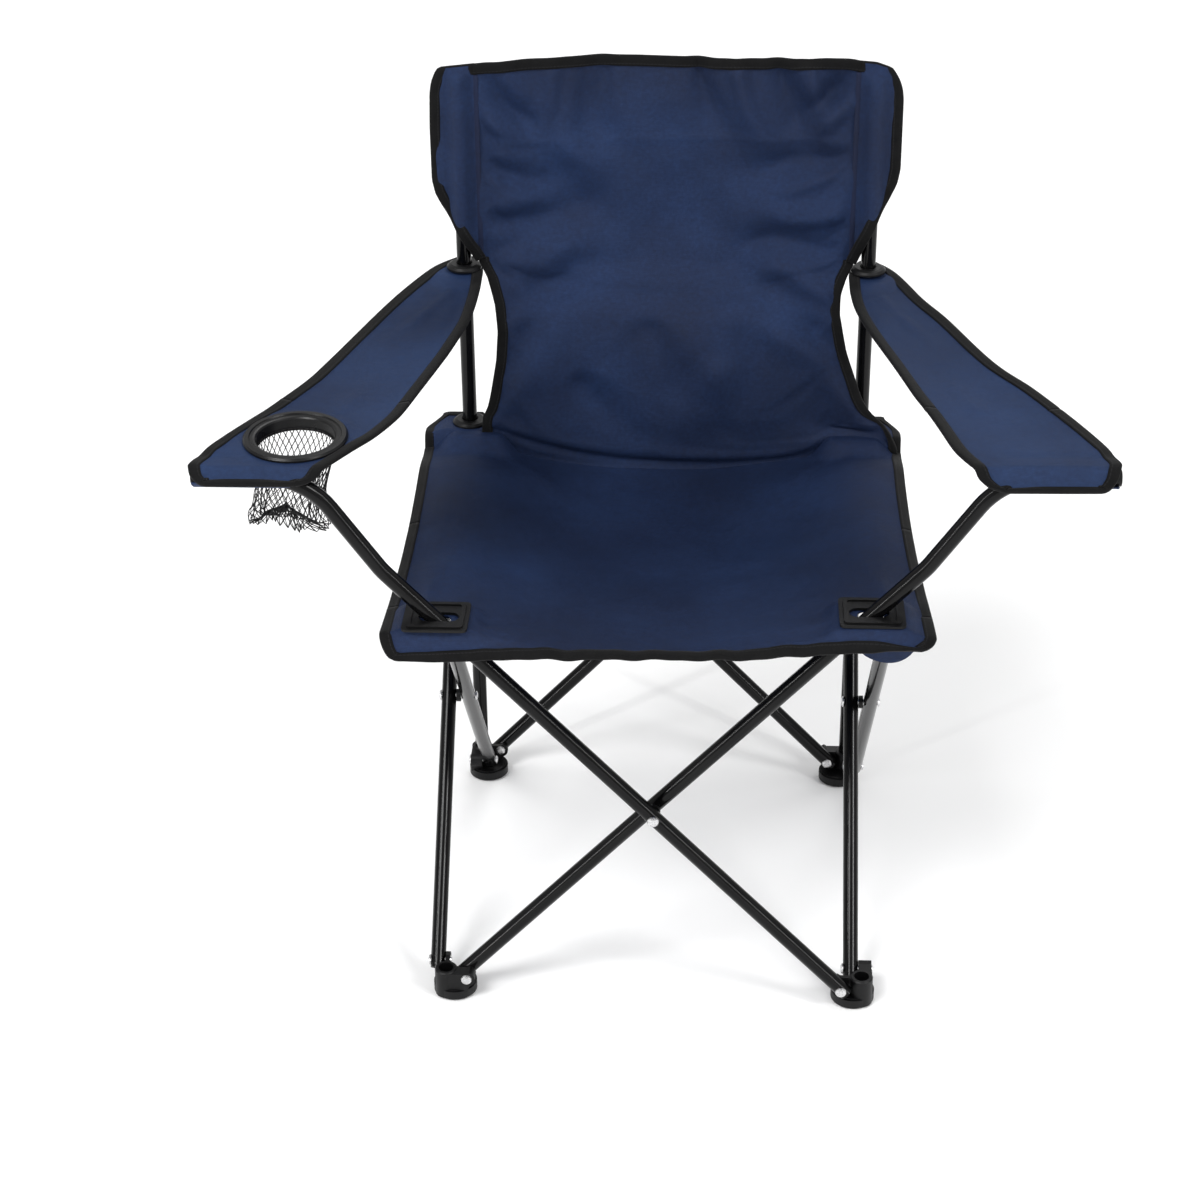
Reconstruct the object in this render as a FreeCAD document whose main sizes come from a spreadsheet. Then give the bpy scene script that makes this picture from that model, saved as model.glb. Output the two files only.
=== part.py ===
import FreeCAD, Part
import math
import os

# Folding quad camp chair: four feet, two rear posts, eight crossed tubes, sliders on
# the posts, hubs and slotted plates at the front seat corners, cloth seat, back and
# armrests, one armrest with a cup holder.
# Frame: X to the right as the sitter's front is seen, -Y is the front, +Z is up, the
# origin is on the floor at the middle of the chair. Millimetres.

doc = FreeCAD.newDocument("camp_chair")
sheet = doc.addObject("Spreadsheet::Sheet", "dims")

VALUES = [
    ("corner", 206.0),        # leg corner, from the middle, in X and in Y
    ("lug_reach", 21.0),      # pivot distance inboard of the corner axis
    ("pivot_low", 25.0),      # height of the foot pivots
    ("pivot_rise", 396.0),    # from foot pivots to hub pivots, chair open
    ("tube_od", 15.0),
    ("tube_id", 12.6),
    ("tube_end", 8.0),        # tube past its last rivet
    ("plane_gap", 10.0),      # tube axis off the lug's middle plane
    ("lug_thick", 4.4),
    ("lug_round", 8.5),
    ("rivet_od", 6.0),
    ("rivet_run", 6.2),       # hole that turns on a rivet
    ("head_od", 11.0),
    ("head_tall", 2.0),
    ("tail_od", 9.0),
    ("post_top", 806.0),
    ("post_bottom", 8.0),
    ("foot_od", 43.0),
    ("foot_tall", 32.0),
    ("foot_block", 10.6),     # the thick lug's outer face from the corner's middle plane
    ("foot_shift", 8.0),      # the round base stands this far in from the socket, both ways
    ("collar_od", 22.4),
    ("slide_id", 15.6),
    ("hub_low", 404.0),
    ("hub_top", 432.5),
    ("front_hub_od", 17.0),
    ("front_hub_top", 427.0),
    ("cloth_low", 433.0),     # under side of the seat cloth
    ("cloth_thick", 3.0),
    ("plate_gap", 0.3),
    ("plate_long", 60.0),
    ("plate_deep", 54.0),
    ("plate_tall", 4.0),
    ("slot_wide", 16.6),
    ("arm_x_bend", 246.0),
    ("arm_x_top", 310.0),
    ("arm_x_end", 408.0),
    ("arm_high", 579.0),
    ("bend_big", 80.0),
    ("bend_small", 70.0),
    ("grommet_od", 36.0),
    ("grommet_tall", 5.0),
    ("arm_ring_low", 611.0),
    ("seat_half", 250.0),
    ("seat_front", -240.0),
    ("fold_front", -180.0),
    ("fold_mid", 4.0),
    ("fold_rear", 188.0),
    ("cup_od", 95.0),
    ("cup_wall_od", 78.0),
    ("cup_id", 71.0),
    ("cup_tall", 20.0),
    ("net_top_od", 69.0),
    ("net_low_od", 50.0),
    ("net_deep", 102.0),
    ("net_wall", 1.6),
]
V = {}
for row, (alias, value) in enumerate(VALUES, start=1):
    sheet.set("A%d" % row, alias)
    sheet.set("B%d" % row, "%g" % value)
    sheet.setAlias("B%d" % row, alias)
    V[alias] = value
doc.recompute()

vec = FreeCAD.Vector
XA, YA, ZA = vec(1, 0, 0), vec(0, 1, 0), vec(0, 0, 1)
SPAN = 2 * (V["corner"] - V["lug_reach"])
REACH = math.hypot(SPAN, V["pivot_rise"])          # rivet to rivet along a tube
THETA = math.atan2(V["pivot_rise"], SPAN)          # tube angle, chair open
HIGH = V["pivot_low"] + V["pivot_rise"]
PX = V["corner"] - V["lug_reach"]
PIECES = []


def keep(obj, label, placement=None):
    obj.Label = label
    if placement is not None:
        obj.Placement = placement
    PIECES.append(obj)
    return obj


def turn(axis, degrees):
    return FreeCAD.Rotation(axis, degrees)


def at(x, y, z, rot=None):
    return FreeCAD.Placement(vec(x, y, z), rot or FreeCAD.Rotation())


def new_body(name):
    return doc.addObject("PartDesign::Body", name)


def plane(body, role):
    for f in body.Origin.OriginFeatures:
        if f.Role == role:
            return f
    raise ValueError(role)


def sketch(body, name, role="XY_Plane", offset=0.0, offset_expr=None):
    sk = body.newObject("Sketcher::SketchObject", name)
    sk.AttachmentSupport = [(plane(body, role), "")]
    sk.MapMode = "FlatFace"
    sk.AttachmentOffset = at(0, 0, offset)
    if offset_expr:
        sk.setExpression(".AttachmentOffset.Base.z", offset_expr)
    return sk


def circle(sk, x, y, dia_expr, dia):
    n = sk.addGeometry(Part.Circle(vec(x, y, 0), ZA, dia / 2.0), False)
    import Sketcher
    c = sk.addConstraint(Sketcher.Constraint("Diameter", n, dia))
    sk.setExpression("Constraints[%d]" % c, dia_expr)
    return n


def outline(sk, pts):
    import Sketcher
    first = sk.GeometryCount
    n = len(pts)
    for i in range(n):
        a, b = pts[i], pts[(i + 1) % n]
        sk.addGeometry(Part.LineSegment(vec(a[0], a[1], 0), vec(b[0], b[1], 0)), False)
    for i in range(n):
        sk.addConstraint(Sketcher.Constraint("Coincident", first + i, 2, first + (i + 1) % n, 1))
    for i in range(n):
        sk.addConstraint(Sketcher.Constraint("Block", first + i))


def pad(body, sk, name, length_expr, length, midplane=False, reverse=False):
    f = body.newObject("PartDesign::Pad", name)
    f.Profile = sk
    f.Length = length
    if length_expr:
        f.setExpression("Length", length_expr)
    f.Midplane = midplane
    f.Reversed = reverse
    sk.Visibility = False
    return f


def pocket(body, sk, name, length=None, length_expr=None, midplane=False, reverse=False):
    f = body.newObject("PartDesign::Pocket", name)
    f.Profile = sk
    if length is None:
        f.Type = 1
    else:
        f.Type = 0
        f.Length = length
        if length_expr:
            f.setExpression("Length", length_expr)
    f.Midplane = midplane
    f.Reversed = reverse
    sk.Visibility = False
    return f


def arc_points(cx, cy, r, a0, a1, n):
    return [(cx + r * math.cos(math.radians(a0 + (a1 - a0) * i / n)),
             cy + r * math.sin(math.radians(a0 + (a1 - a0) * i / n))) for i in range(n + 1)]


def rounded(x0, y0, x1, y1, r, n=4):
    return (arc_points(x1 - r, y1 - r, r, 0, 90, n) + arc_points(x0 + r, y1 - r, r, 90, 180, n)
            + arc_points(x0 + r, y0 + r, r, 180, 270, n) + arc_points(x1 - r, y0 + r, r, 270, 360, n))


# ---------------------------------------------------------------- straight tubes
def straight_tube(label, placement, mid_tight):
    b = new_body(label)
    sk = sketch(b, label + "_ring")
    circle(sk, 0, 0, "dims.tube_od", V["tube_od"])
    circle(sk, 0, 0, "dims.tube_id", V["tube_id"])
    total = REACH + 2 * V["tube_end"]
    pad(b, sk, label + "_length",
        "sqrt((2 * (dims.corner - dims.lug_reach)) ^ 2 + dims.pivot_rise ^ 2) + 2 * dims.tube_end", total, midplane=True)
    holes = sketch(b, label + "_ends", "XZ_Plane")
    for s in (-1, 1):
        circle(holes, 0, s * REACH / 2, "dims.rivet_run", V["rivet_run"])
    if mid_tight:
        circle(holes, 0, 0, "dims.rivet_od", V["rivet_od"])
    else:
        circle(holes, 0, 0, "dims.rivet_run", V["rivet_run"])
    pocket(b, holes, label + "_holes", length=V["tube_od"] + 4, length_expr="dims.tube_od + 4", midplane=True)
    return keep(b, label, placement)


def across(y, up_right):
    a = 90 - math.degrees(THETA)
    return at(0, y, V["pivot_low"] + V["pivot_rise"] / 2, turn(YA, a if up_right else -a))


def along(x, up_rear):
    a = 90 - math.degrees(THETA)
    rot = turn(XA, -a if up_rear else a).multiply(turn(ZA, 90))
    return at(x, 0, V["pivot_low"] + V["pivot_rise"] / 2, rot)


C, G = V["corner"], V["plane_gap"]
straight_tube("rear_cross_tube_left", across(C + G, True), True)
straight_tube("rear_cross_tube_right", across(C - G, False), False)
straight_tube("left_side_tube_front", along(-C - G, True), True)
straight_tube("left_side_tube_rear", along(-C + G, False), False)
straight_tube("right_side_tube_front", along(C - G, True), False)
straight_tube("right_side_tube_rear", along(C + G, False), True)


# ------------------------------------------------- front tubes with arm supports
def front_tube(label, y, left_going, mid_tight):
    """Runs from the opposite foot up through the seat corner, bends twice and ends
    level inside the armrest's front sleeve. Drawn in the XZ plane, going up-left."""
    s = 1.0 if left_going else -1.0
    d = vec(-math.cos(THETA), math.sin(THETA), 0)
    p0 = vec(PX, V["pivot_low"], 0) - d * V["tube_end"]
    t1 = V["arm_x_bend"]
    p1 = vec(-t1, HIGH + (t1 - PX) * math.tan(THETA), 0)
    p2 = vec(-V["arm_x_top"], V["arm_high"], 0)
    p3 = vec(-V["arm_x_end"], V["arm_high"], 0)
    pts = [vec(p.x * s, p.y, 0) for p in (p0, p1, p2, p3)]
    b = new_body(label)
    path = sketch(b, label + "_route", "XZ_Plane")

    def bend(a, v, c, r):
        u0 = (a - v).normalize()
        u1 = (c - v).normalize()
        half = math.acos(max(-1, min(1, u0.dot(u1)))) / 2
        t = r / math.tan(half)
        q0, q1 = v + u0 * t, v + u1 * t
        mid_dir = (u0 + u1).normalize()
        cen = v + mid_dir * (r / math.sin(half))
        qm = cen - mid_dir * r
        return q0, qm, q1

    a0, am, a1 = bend(pts[0], pts[1], pts[2], V["bend_big"])
    b0, bm, b1 = bend(pts[1], pts[2], pts[3], V["bend_small"])
    geo = [Part.LineSegment(pts[0], a0), Part.Arc(a0, am, a1), Part.LineSegment(a1, b0),
           Part.Arc(b0, bm, b1), Part.LineSegment(b1, pts[3])]
    path.addGeometry(geo, False)
    doc.recompute()
    prof = b.newObject("Sketcher::SketchObject", label + "_section")
    prof.AttachmentSupport = [(path, "Edge1")]
    prof.MapMode = "NormalToEdge"
    circle(prof, 0, 0, "dims.tube_od", V["tube_od"])
    circle(prof, 0, 0, "dims.tube_id", V["tube_id"])
    doc.recompute()
    pipe = b.newObject("PartDesign::AdditivePipe", label + "_pipe")
    pipe.Profile = prof
    pipe.Spine = (path, ["Edge1", "Edge2", "Edge3", "Edge4", "Edge5"])
    doc.recompute()
    holes = sketch(b, label + "_drill", "XZ_Plane")
    circle(holes, s * PX, V["pivot_low"], "dims.rivet_run", V["rivet_run"])
    circle(holes, -s * PX, HIGH, "dims.rivet_run", V["rivet_run"])
    circle(holes, 0, V["pivot_low"] + V["pivot_rise"] / 2,
           "dims.rivet_od" if mid_tight else "dims.rivet_run",
           V["rivet_od"] if mid_tight else V["rivet_run"])
    pocket(b, holes, label + "_holes", length=V["tube_od"] + 4, length_expr="dims.tube_od + 4", midplane=True)
    return keep(b, label, at(0, y, 0))


front_tube("front_cross_tube_right", -C - G, True, True)
front_tube("front_cross_tube_left", -C + G, False, False)


# ---------------------------------------------------------------------- posts
def post(label, x):
    b = new_body(label)
    sk = sketch(b, label + "_ring", "XY_Plane", V["post_bottom"], "dims.post_bottom")
    circle(sk, 0, 0, "dims.tube_od", V["tube_od"])
    circle(sk, 0, 0, "dims.tube_id", V["tube_id"])
    pad(b, sk, label + "_length", "dims.post_top - dims.post_bottom", V["post_top"] - V["post_bottom"])
    return keep(b, label, at(x, C, 0))


post("rear_left_post", -C)
post("rear_right_post", C)


def post_plug(label, x):
    b = new_body(label)
    sk = sketch(b, label + "_stem", "XY_Plane", V["post_top"] - 12, "dims.post_top - 12")
    circle(sk, 0, 0, "dims.tube_id", V["tube_id"])
    pad(b, sk, label + "_in", None, 12.0)
    sk2 = sketch(b, label + "_cap", "XY_Plane", V["post_top"], "dims.post_top")
    circle(sk2, 0, 0, "dims.tube_od", V["tube_od"])
    head = pad(b, sk2, label + "_head", None, 3.0)
    doc.recompute()
    top = [i for i, e in enumerate(b.Shape.Edges, 1)
           if abs(e.BoundBox.ZMin - V["post_top"] - 3) < 0.01 and abs(e.BoundBox.ZMax - V["post_top"] - 3) < 0.01]
    f = b.newObject("PartDesign::Fillet", label + "_soft")
    f.Base = (head, ["Edge%d" % i for i in top])
    f.Radius = 1.5
    b.Tip = f
    return keep(b, label, at(x, C, 0))


post_plug("left_post_plug", -C)
post_plug("right_post_plug", C)


def arm_end_cap(label, x_sign, y):
    """Plug in the open end of an arm support, with a rounded head."""
    b = new_body(label)
    sk = sketch(b, label + "_stem", "YZ_Plane")
    circle(sk, 0, 0, "dims.tube_id", V["tube_id"])
    pad(b, sk, label + "_in", None, 12.0)
    sk2 = sketch(b, label + "_cap", "YZ_Plane")
    circle(sk2, 0, 0, "dims.tube_od", V["tube_od"])
    pad(b, sk2, label + "_head", None, 3.0, reverse=True)
    return keep(b, label, at(x_sign * V["arm_x_end"], y, V["arm_high"],
                             turn(ZA, 0) if x_sign < 0 else turn(ZA, 180)))


arm_end_cap("left_arm_tube_plug", -1, -C - G)
arm_end_cap("right_arm_tube_plug", 1, -C + G)


# ---------------------------------------------------------------------- corner mouldings
def lug_outline(z0, z1, zp):
    """Side view of one lug: from the corner axis out to a rounded end at the pivot."""
    r = V["lug_round"]
    x = V["lug_reach"]
    return [(0, z0), (x, z0)] + arc_points(x, zp, r, -70, 70, 8) + [(x, z1), (0, z1)]


def corner_piece(label, placement, z_ref, lug_z0, lug_z1, make_core, bore_expr, bore):
    b = new_body(label)
    make_core(b)
    if label.endswith("foot"):
        # the lug in the XZ plane is a full block, flush with the socket's outside
        sk = sketch(b, label + "_block", "XZ_Plane")
        outline(sk, lug_outline(lug_z0, lug_z1, z_ref))
        pad(b, sk, label + "_block_pad", "dims.foot_block", V["foot_block"])
    for k, role in enumerate(("XZ_Plane", "YZ_Plane")):
        sk = sketch(b, "%s_lug%d" % (label, k), role)
        outline(sk, lug_outline(lug_z0, lug_z1, z_ref))
        pad(b, sk, "%s_lug%d_pad" % (label, k), "dims.lug_thick", V["lug_thick"], midplane=True)
        doc.recompute()
        before = b.Shape.Volume
        hole = sketch(b, "%s_pin%d" % (label, k), role)
        circle(hole, V["lug_reach"], z_ref, "dims.rivet_od", V["rivet_od"])
        deep = "dims.lug_thick + 2 * dims.foot_block" if label.endswith("foot") and k == 0 else "dims.lug_thick + 2"
        pocket(b, hole, "%s_pin%d_hole" % (label, k), length=V["lug_thick"] + 2,
               length_expr=deep, midplane=True)
        doc.recompute()
        if not b.Shape.Volume < before - 50:
            raise RuntimeError("no pin hole in " + label)
    if bore:
        before = b.Shape.Volume
        z_from = V["post_bottom"] if label.endswith("foot") else lug_z0 - 30
        z_to = lug_z1 + 60
        sk = sketch(b, label + "_socket", "XY_Plane", z_to)
        circle(sk, 0, 0, bore_expr, bore)
        pocket(b, sk, label + "_bore", length=z_to - z_from)
        doc.recompute()
        if not b.Shape.Volume < before - 500:
            raise RuntimeError("no bore in " + label)
    return keep(b, label, placement)


def foot_core(b):
    sk = sketch(b, b.Name + "_profile", "XZ_Plane")
    r, c, t = V["foot_od"] / 2, V["collar_od"] / 2, V["foot_tall"]
    outline(sk, [(0, 2.0), (c, 2.0), (c, t - 1.2), (c - 1.2, t), (0, t)])
    rev = b.newObject("PartDesign::Revolution", b.Name + "_turned")
    rev.Profile = sk
    rev.ReferenceAxis = (sk, ["V_Axis"])
    rev.Angle = 360
    sk.Visibility = False
    d = V["foot_shift"]
    for name, rad, z, tall in (("sole", r - 3.0, 0.0, 2.0), ("rim", r, 2.0, 9.0), ("shoulder", r - 2.0, 11.0, 1.5)):
        base = sketch(b, b.Name + "_" + name, "XY_Plane", z)
        base_ring = Part.Circle(vec(d, d, 0), ZA, rad)
        base.addGeometry([base_ring], False)
        pad(b, base, b.Name + "_" + name + "_pad", None, tall)


def slider_core(b):
    sk = sketch(b, b.Name + "_round", "XY_Plane", V["hub_low"], "dims.hub_low")
    circle(sk, 0, 0, "dims.collar_od", V["collar_od"])
    pad(b, sk, b.Name + "_collar", "dims.hub_top - dims.hub_low", V["hub_top"] - V["hub_low"])


def hub_core(b):
    sk = sketch(b, b.Name + "_round", "XY_Plane", V["hub_low"], "dims.hub_low")
    circle(sk, 0, 0, "dims.front_hub_od", V["front_hub_od"])
    pad(b, sk, b.Name + "_boss", "dims.front_hub_top - dims.hub_low", V["front_hub_top"] - V["hub_low"])


CORNERS = {"front_left": (-C, -C, 0), "front_right": (C, -C, 90), "rear_right": (C, C, 180), "rear_left": (-C, C, 270)}
for name, (x, y, a) in CORNERS.items():
    corner_piece(name + "_foot", at(x, y, 0, turn(ZA, a)), V["pivot_low"], 9.0, V["foot_tall"] - 1, foot_core,
                 "dims.tube_od", V["tube_od"])
for name in ("rear_left", "rear_right"):
    x, y, a = CORNERS[name]
    corner_piece(name + "_slider", at(x, y, 0, turn(ZA, a)), HIGH, V["hub_low"] + 6, HIGH + 8.0, slider_core,
                 "dims.slide_id", V["slide_id"])
for name in ("front_left", "front_right"):
    x, y, a = CORNERS[name]
    corner_piece(name + "_hub", at(x, y, 0, turn(ZA, a)), HIGH, V["hub_low"], HIGH + 6.0, hub_core, None, None)


# ---------------------------------------------------------------------- rivets
def rivet_solids(origin, axis, start, end):
    """One rivet: shank from start to end along the axis, a domed head past each end."""
    o = vec(*origin)
    d = {"x": XA, "y": YA}[axis]
    r = V["rivet_od"] / 2
    h = V["head_tall"]
    hr = V["head_od"] / 2
    prof = [vec(0, 0, -h), vec(hr * 0.55, 0, -h), vec(hr * 0.9, 0, -h * 0.6), vec(hr, 0, 0), vec(r, 0, 0),
            vec(r, 0, end - start), vec(V["tail_od"] / 2, 0, end - start),
            vec(V["tail_od"] / 2 * 0.9, 0, end - start + h * 0.6),
            vec(V["tail_od"] / 2 * 0.5, 0, end - start + h * 0.9), vec(0, 0, end - start + h * 0.9)]
    face = Part.Face(Part.makePolygon(prof + [prof[0]]))
    solid = face.revolve(vec(0, 0, 0), ZA, 360)
    if solid.Volume < 0:
        solid.reverse()
    pl = FreeCAD.Placement(o + d * start, FreeCAD.Rotation(ZA, d))
    solid.Placement = pl
    return solid


def rivets(label, solids):
    f = doc.addObject("Part::Feature", label)
    f.Shape = Part.makeCompound(solids) if len(solids) > 1 else solids[0]
    return keep(f, label)


T = V["lug_thick"] / 2
OUT = V["plane_gap"] + V["tube_od"] / 2 + 0.3      # tube's far side from the lug's middle plane
RIVET_SIDES = {
    # corner: (x of the cross pivot, y of the lug plane, sign of the tube side, then the same for the side lug)
    "front_left": (("y", (-PX, -C), {"low": 1, "top": -1}), ("x", (-C, -PX), {"low": -1, "top": 1})),
    "front_right": (("y", (PX, -C), {"low": -1, "top": 1}), ("x", (C, -PX), {"low": -1, "top": 1})),
    "rear_right": (("y", (PX, C), {"low": -1, "top": 1}), ("x", (C, PX), {"low": 1, "top": -1})),
    "rear_left": (("y", (-PX, C), {"low": 1, "top": -1}), ("x", (-C, PX), {"low": 1, "top": -1})),
}


THICK = {("front_left", "y"), ("front_right", "x"), ("rear_right", "y"), ("rear_left", "x")}


def corner_rivets(label, corner, level):
    z = V["pivot_low"] if level == "low" else HIGH
    out = []
    for axis, (x, y), sides in RIVET_SIDES[corner]:
        s = sides[level]
        lug = V["foot_block"] if level == "low" and (corner, axis) in THICK else T
        lo, hi = (-lug, OUT) if s > 0 else (-OUT, lug)
        out.append(rivet_solids((x, y, z), axis, lo, hi))
    return rivets(label, out)


for corner in CORNERS:
    corner_rivets(corner + "_foot_rivets", corner, "low")
for corner in ("front_left", "front_right"):
    corner_rivets(corner + "_hub_rivets", corner, "top")
for corner in ("rear_left", "rear_right"):
    corner_rivets(corner + "_slider_rivets", corner, "top")

MIDZ = V["pivot_low"] + V["pivot_rise"] / 2
rivets("front_cross_rivet", [rivet_solids((0, -C, MIDZ), "y", -OUT, OUT)])
rivets("rear_cross_rivet", [rivet_solids((0, C, MIDZ), "y", -OUT, OUT)])
rivets("left_side_rivet", [rivet_solids((-C, 0, MIDZ), "x", -OUT, OUT)])
rivets("right_side_rivet", [rivet_solids((C, 0, MIDZ), "x", -OUT, OUT)])


def spacer(label, x, y, role):
    """Washer between two crossing tubes."""
    b = new_body(label)
    sk = sketch(b, label + "_ring", role)
    circle(sk, 0, 0, "dims.tail_od + 4", V["tail_od"] + 4)
    circle(sk, 0, 0, "dims.rivet_od", V["rivet_od"])
    pad(b, sk, label + "_thick", "dims.lug_thick", V["lug_thick"], midplane=True)
    return keep(b, label, at(x, y, MIDZ))


spacer("front_cross_spacer", 0, -C, "XZ_Plane")
spacer("rear_cross_spacer", 0, C, "XZ_Plane")
spacer("left_side_spacer", -C, 0, "YZ_Plane")
spacer("right_side_spacer", C, 0, "YZ_Plane")


# ---------------------------------------------------------------------- seat corner plates
def seat_plate(label, sx, y_tube):
    """Moulded plate with a raised border and a slot that the arm support swings in."""
    b = new_body(label)
    low = V["cloth_low"] + V["cloth_thick"] + V["plate_gap"]
    low_expr = "dims.cloth_low + dims.cloth_thick + dims.plate_gap"
    cx = 198.5
    x0, x1 = cx - V["plate_long"] / 2, cx + V["plate_long"] / 2
    yc = y_tube + 2.0
    y0, y1 = yc - V["plate_deep"] / 2, yc + V["plate_deep"] / 2
    sk = sketch(b, label + "_base", "XY_Plane", low, low_expr)
    outline(sk, [(sx * x, y) for x, y in rounded(x0, y0, x1, y1, 5.0)])
    pad(b, sk, label + "_sheet", None, 2.2)
    sk2 = sketch(b, label + "_border", "XY_Plane", low, low_expr)
    outline(sk2, [(sx * x, y) for x, y in rounded(x0 + 4, y0 + 4, x1 - 4, y1 - 4, 4.0)])
    pad(b, sk2, label + "_step", "dims.plate_tall", V["plate_tall"])
    doc.recompute()
    before = b.Shape.Volume
    sk3 = sketch(b, label + "_groove", "XY_Plane", low + V["plate_tall"])
    outline(sk3, [(sx * x, y) for x, y in rounded(x0 + 8, y0 + 8, x1 - 8, y1 - 8, 3.0)])
    pocket(b, sk3, label + "_sunk", length=1.4)
    r = V["slot_wide"] / 2
    xa, xb = PX + 29.5 - r, PX - 7.5 + r
    slot = arc_points(xa, y_tube, r, -90, 90, 8) + arc_points(xb, y_tube, r, 90, 270, 8)
    sk4 = sketch(b, label + "_slot", "XY_Plane", low + V["plate_tall"] + 1)
    outline(sk4, [(sx * x, y) for x, y in slot])
    pocket(b, sk4, label + "_through", length=V["plate_tall"] + 3)
    doc.recompute()
    if not b.Shape.Volume < before - 2000:
        raise RuntimeError("no slot in " + label)
    return keep(b, label)


seat_plate("front_left_seat_plate", -1, -C - G)
seat_plate("front_right_seat_plate", 1, -C + G)


def ring(label, x, y, z, inner_expr, inner, tall):
    """Grommet ring with a turned, rounded section."""
    b = new_body(label)
    sk = sketch(b, label + "_profile", "XZ_Plane")
    ri, ro, t = inner / 2, V["grommet_od"] / 2, tall
    outline(sk, [(ri, 0), (ro, 0), (ro, t * 0.35), (ro - 2.0, t * 0.75), (ro - 4.5, t), (ri + 1.0, t), (ri, t - 1.0)])
    rev = b.newObject("PartDesign::Revolution", label + "_turned")
    rev.Profile = sk
    rev.ReferenceAxis = (sk, ["V_Axis"])
    rev.Angle = 360
    return keep(b, label, at(x, y, z))


TOP = V["cloth_low"] + V["cloth_thick"]
ring("left_arm_grommet", -C, C, V["arm_ring_low"], "dims.tube_od", V["tube_od"], V["grommet_tall"])
ring("right_arm_grommet", C, C, V["arm_ring_low"], "dims.tube_od", V["tube_od"], V["grommet_tall"])
ring("rear_left_seat_grommet", -C, C, TOP, None, V["tube_od"] + 1.0, V["grommet_tall"])
ring("rear_right_seat_grommet", C, C, TOP, None, V["tube_od"] + 1.0, V["grommet_tall"])


# ---------------------------------------------------------------------- cloth: seat
def slot_poly(sx, y_tube, r):
    xa, xb = PX + 29.5 - V["slot_wide"] / 2, PX - 7.5 + V["slot_wide"] / 2
    pts = arc_points(xa, y_tube, r, -90, 90, 6) + arc_points(xb, y_tube, r, 90, 270, 6)
    return [(sx * x, y) for x, y in pts]


def cloth_pad(label, pts, holes=(), low=None, placement=None):
    b = new_body(label)
    z = V["cloth_low"] if low is None else low
    sk = sketch(b, label + "_cut", "XY_Plane", z, "dims.cloth_low" if low is None else None)
    outline(sk, pts)
    for h in holes:
        outline(sk, h)
    pad(b, sk, label + "_cloth", "dims.cloth_thick", V["cloth_thick"])
    return keep(b, label, placement)


SH, SF = V["seat_half"], V["seat_front"]
GAPC = 0.5
front_edge = ([(-SH, V["fold_front"] - GAPC), (-SH, SF + 22)] + arc_points(-SH + 22, SF + 22, 22, 180, 270, 5)[1:]
              + arc_points(SH - 22, SF + 22, 22, 270, 360, 5) + [(SH, V["fold_front"] - GAPC)])
cloth_pad("seat_front_edge", front_edge, [slot_poly(-1, -C - G, 9.5), slot_poly(1, -C + G, 9.5)])
cloth_pad("seat_front_panel", [(-SH, V["fold_front"] + GAPC), (SH, V["fold_front"] + GAPC),
                               (SH - 2, V["fold_mid"] - GAPC), (-SH + 2, V["fold_mid"] - GAPC)])
cloth_pad("seat_rear_panel", [(-SH + 2, V["fold_mid"] + GAPC), (SH - 2, V["fold_mid"] + GAPC),
                              (SH, V["fold_rear"] - GAPC), (-SH, V["fold_rear"] - GAPC)])


def corner_tab(label, sx):
    pts = [(sx * 184, V["fold_rear"] + GAPC), (sx * SH, V["fold_rear"] + GAPC), (sx * (SH - 2), 216), (sx * (SH - 12), 229),
           (sx * 196, 231), (sx * 184, 222)]
    if sx > 0:
        pts = pts[::-1]
    return cloth_pad(label, pts, [arc_points(sx * C, C, 10.0, 0, 360 - 30, 11)])


corner_tab("rear_left_seat_tab", -1)
corner_tab("rear_right_seat_tab", 1)


# ---------------------------------------------------------------------- cloth: back
BACK_Y = 193.0
back_half = [(0, 436.5), (183, 436.5), (176, 470), (171, 545), (173.5, 577), (178, 598), (184, 612), (189.5, 624), (189.5, 826), (120, 830), (0, 832)]
b = new_body("backrest_panel")
sk = sketch(b, "backrest_cut", "XZ_Plane", 0)
outline(sk, back_half[1:] + [(-x, z) for x, z in reversed(back_half[1:-1])])
pad(b, sk, "backrest_cloth", "dims.cloth_thick", V["cloth_thick"], midplane=True)
keep(b, "backrest_panel", at(0, BACK_Y, 0))


def back_sleeve(label, sx):
    """Sewn pocket that slips over a post's top, closed above."""
    b = new_body(label)
    wall = 2.4
    ro = V["tube_od"] / 2 + 0.4 + wall
    z0, z1 = 646.0, 822.0
    sk = sketch(b, label + "_section", "XY_Plane", z0)
    outline(sk, arc_points(0, 0, ro, 0, 345, 23))
    pad(b, sk, label + "_round", None, z1 - z0)
    # flat flange of the pocket: outer hem and the seam towards the panel
    fl = sketch(b, label + "_hem", "XZ_Plane")
    pts = [(-15.8, z0 - 21), (-9.0, z0 - 8), (1.5, z0 + 8), (11.0, z0 + 26), (22.0, z0 + 40), (27.0, z0 + 52), (25.0, z1 - 10), (19, z1 + 3), (-15.8, z1 + 3)]
    if sx < 0:
        pts = [(-x, z) for x, z in pts]
    outline(fl, pts)
    pad(b, fl, label + "_flat", "dims.cloth_thick", V["cloth_thick"], midplane=True)
    doc.recompute()
    before = b.Shape.Volume
    bo = sketch(b, label + "_inside", "XY_Plane", z0 - 20)
    circle(bo, 0, 0, "dims.tube_od + 0.8", V["tube_od"] + 0.8)
    pk = pocket(b, bo, label + "_pocket", length=V["post_top"] + 4.0 - (z0 - 20), reverse=True)
    doc.recompute()
    if not b.Shape.Volume < before - 5000:
        raise RuntimeError("no pocket in " + label)
    return keep(b, label, at(sx * C, C, 0))


back_sleeve("backrest_sleeve_left", -1)
back_sleeve("backrest_sleeve_right", 1)


# ---------------------------------------------------------------------- cloth: armrests
TILT = 2.6


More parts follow.
